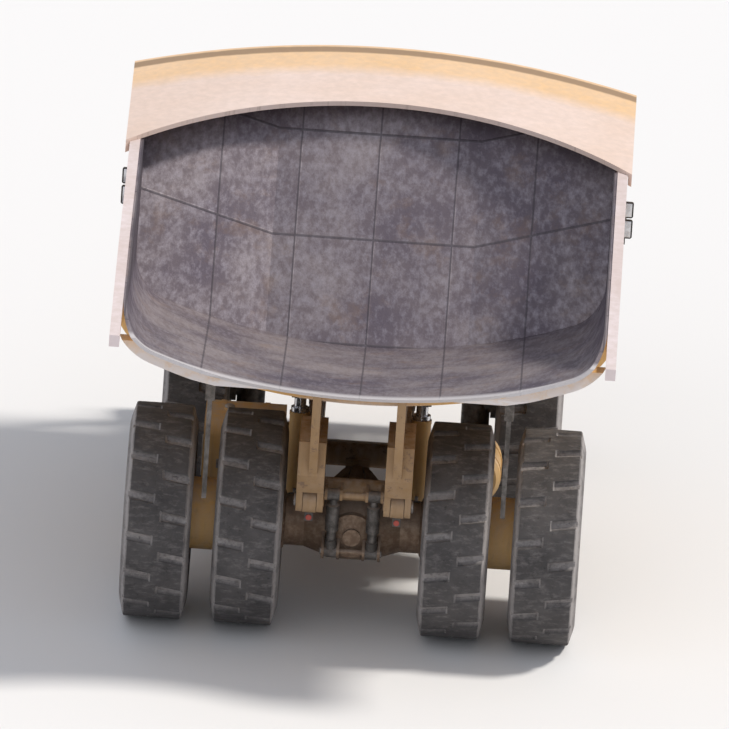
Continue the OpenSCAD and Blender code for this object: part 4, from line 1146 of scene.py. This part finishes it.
def tankFittings():
    bm = bmesh.new()
    low, high, edge = tank["strap"]
    for x, y, hand in tank["straps"]:
        addBlock(bm, rearPlace(x + low[0], y, low[2]), rearPlace(x + high[0], y + hand * high[1], high[2]),
                 edge)
        for _, out, z in tank["strapNuts"]:
            addNut(bm, rearPlace(x, y + hand * out, z), (0, hand, 0), tank["nut"])
    addRows(bm, onGround, 1, turned=tank["caps"], blocks=tank["glasses"], rods=[tank["outlet"]])
    finished("tankFittings", bm, boltSteel, "chassis")
    pipes("tankPipes", [[rearPlace(*place) for place in route] for route in tank["pipes"]], tank["pipeR"],
          hoseRubber)


def canisterFittings():
    bm = bmesh.new()
    half = Vector(canister["clip"])
    for x, y in canister["places"]:
        middle = Vector(rearPlace(x, y, site["deckTop"]))
        for angle in [math.radians(clip) for clip in canister["clips"]]:
            out = Vector((math.cos(angle), math.sin(angle), 0)) * canister["clipR"]
            place = out + Vector((0, 0, canister["clipUp"]))
            addRows(bm, middle, 1, blocks=[(place - half, place + half, canister["edge"])])
        addRows(bm, middle, 1, turned=[((0, 0, z), upwards, canister["band"]) for z in canister["bands"]])
    finished("canisterClips", bm, boltSteel, "chassis")
    route = [Vector(onDeck) + Vector(place) for place in canister["intake"]]
    pipes("intakePipes", [route], canister["intakeR"], hoseRubber)


def cabinetFittings():
    bm = bmesh.new()
    for x in cabinet["doors"]:
        addRows(bm, rearPlace(x, cabinet["face"], site["deckTop"]), 1, rods=cabinet["rods"],
                blocks=[cabinet["lock"]])
    eyes = [((x, y, cabinet["top"]), upwards, cabinet["eye"], 20) for x, y in cabinet["eyes"]]
    addRows(bm, onDeck, 1, turned=eyes)
    finished("cabinetFittings", bm, boltSteel, "chassis")


tankFittings()
canisterFittings()
cabinetFittings()
print("tanks and cabinet")


# Engine under the deck: heads, covers, manifold and exhaust on both banks

# each cylinder's pieces from its own start along, at the heads' height
motor = {
    "cylinders": 8, "start": 6.52, "pitch": 0.235, "headZ": 3.05,
    "blocks": (((0.615, 0, 0), (0.80, 0.20, 0.24), 0.012), ((0.615, 0.015, 0.24), (0.74, 0.185, 0.36), 0.02)),
    "rods": (((0.79, 0.1, 0.1), (0.875, 0.1, 0.06), 0.045, 16),),
    "nuts": (((0.68, 0.04, 0.36), upwards, 0.008), ((0.68, 0.16, 0.36), upwards, 0.008)),
    "sump": ((0.615, 6.45, 2.30), (0.64, 8.5, 2.92), 0.01), "exhaustX": 0.89, "exhaustR": 0.075,
    "exhaust": ((8.45, 3.10), (7.4, 3.10), (6.6, 3.10), (6.42, 3.15), (6.38, 3.55), (6.38, 4.07)),
}


def engineDress():
    bm = bmesh.new()
    rows = {kind: motor[kind] for kind in ("blocks", "rods", "nuts")}
    for hand in (-1, 1):
        for index in range(motor["cylinders"]):
            addRows(bm, rearPlace(0, motor["start"] + index * motor["pitch"], motor["headZ"]), hand, **rows)
        addRows(bm, onGround, hand, blocks=[motor["sump"]])
    finished("engineHeads", bm, engineIron, "chassis")
    route = [(motor["exhaustX"], y, z) for y, z in motor["exhaust"]]
    pipes("exhaustPipes", bothSides(route), motor["exhaustR"], axleSteel)


engineDress()
print("engine")


# Stage, light and camera

stage = {"size": 400.0, "floor": (0.80, 0.79, 0.78), "sky": (0.86, 0.9, 1.0), "skyStrength": 0.55}
# degrees from ahead of the truck round to its right, and above the floor
suns = {
    "key": {"azimuth": 80, "elevation": 55, "strength": 2.6, "spread": 9, "tint": (1.0, 0.96, 0.9)},
    "fill": {"azimuth": 205, "elevation": 35, "strength": 0.4, "spread": 60, "tint": (0.92, 0.95, 1.0)},
}
view = {
    "azimuth": -0.4, "elevation": 21.0, "roll": 3.8, "distance": 420.0, "acrossFrame": 12.2, "sensor": 36.0,
    "clipEnd": 1000.0,
}


def paleStage():
    bm = bmesh.new()
    bmesh.ops.create_grid(bm, x_segments=1, y_segments=1, size=stage["size"])
    mesh = bpy.data.meshes.new("floor")
    bm.to_mesh(mesh)
    bm.free()
    made = Finish("paleFloor", Roughness=0.9, Specular_IOR_Level=0.1)
    made.shader.inputs["Base Color"].default_value = (*stage["floor"], 1.0)
    mesh.materials.append(made.material)
    linked("floor", mesh)
    world = bpy.data.worlds.new("paleSky")
    bpy.context.scene.world = world
    world.use_nodes = True
    background = world.node_tree.nodes["Background"]
    background.inputs["Color"].default_value = (*stage["sky"], 1.0)
    background.inputs["Strength"].default_value = stage["skyStrength"]


def towards(azimuth, elevation):
    azimuth, elevation = math.radians(azimuth), math.radians(elevation)
    return Vector((math.sin(azimuth) * math.cos(elevation), math.cos(azimuth) * math.cos(elevation),
                   math.sin(elevation)))


def sun(name, azimuth, elevation, strength, spread, tint):
    data = bpy.data.lights.new(name, "SUN")
    data.energy = strength
    data.angle = math.radians(spread)
    data.color = tint
    linked(name, data).rotation_euler = towards(azimuth, elevation).to_track_quat("Z", "Y").to_euler()


def longLens():
    low, high = (Vector(corner) for corner in cadBox)
    away = towards(180 + view["azimuth"], view["elevation"])
    data = bpy.data.cameras.new("longLens")
    data.sensor_width = view["sensor"]
    data.lens = view["sensor"] * view["distance"] / view["acrossFrame"]
    data.clip_end = view["clipEnd"]
    camera = linked("longLens", data)
    camera.location = (low + high) / 2 + away * view["distance"]
    turned = away.to_track_quat("Z", "Y").to_matrix() @ Matrix.Rotation(math.radians(view["roll"]), 3, "Z")
    camera.rotation_euler = turned.to_euler()
    bpy.context.scene.camera = camera


paleStage()
for name, settings in suns.items():
    sun(name, **settings)
longLens()
scene = bpy.context.scene
scene.view_settings.view_transform = "Standard"
print("stage, light and camera")
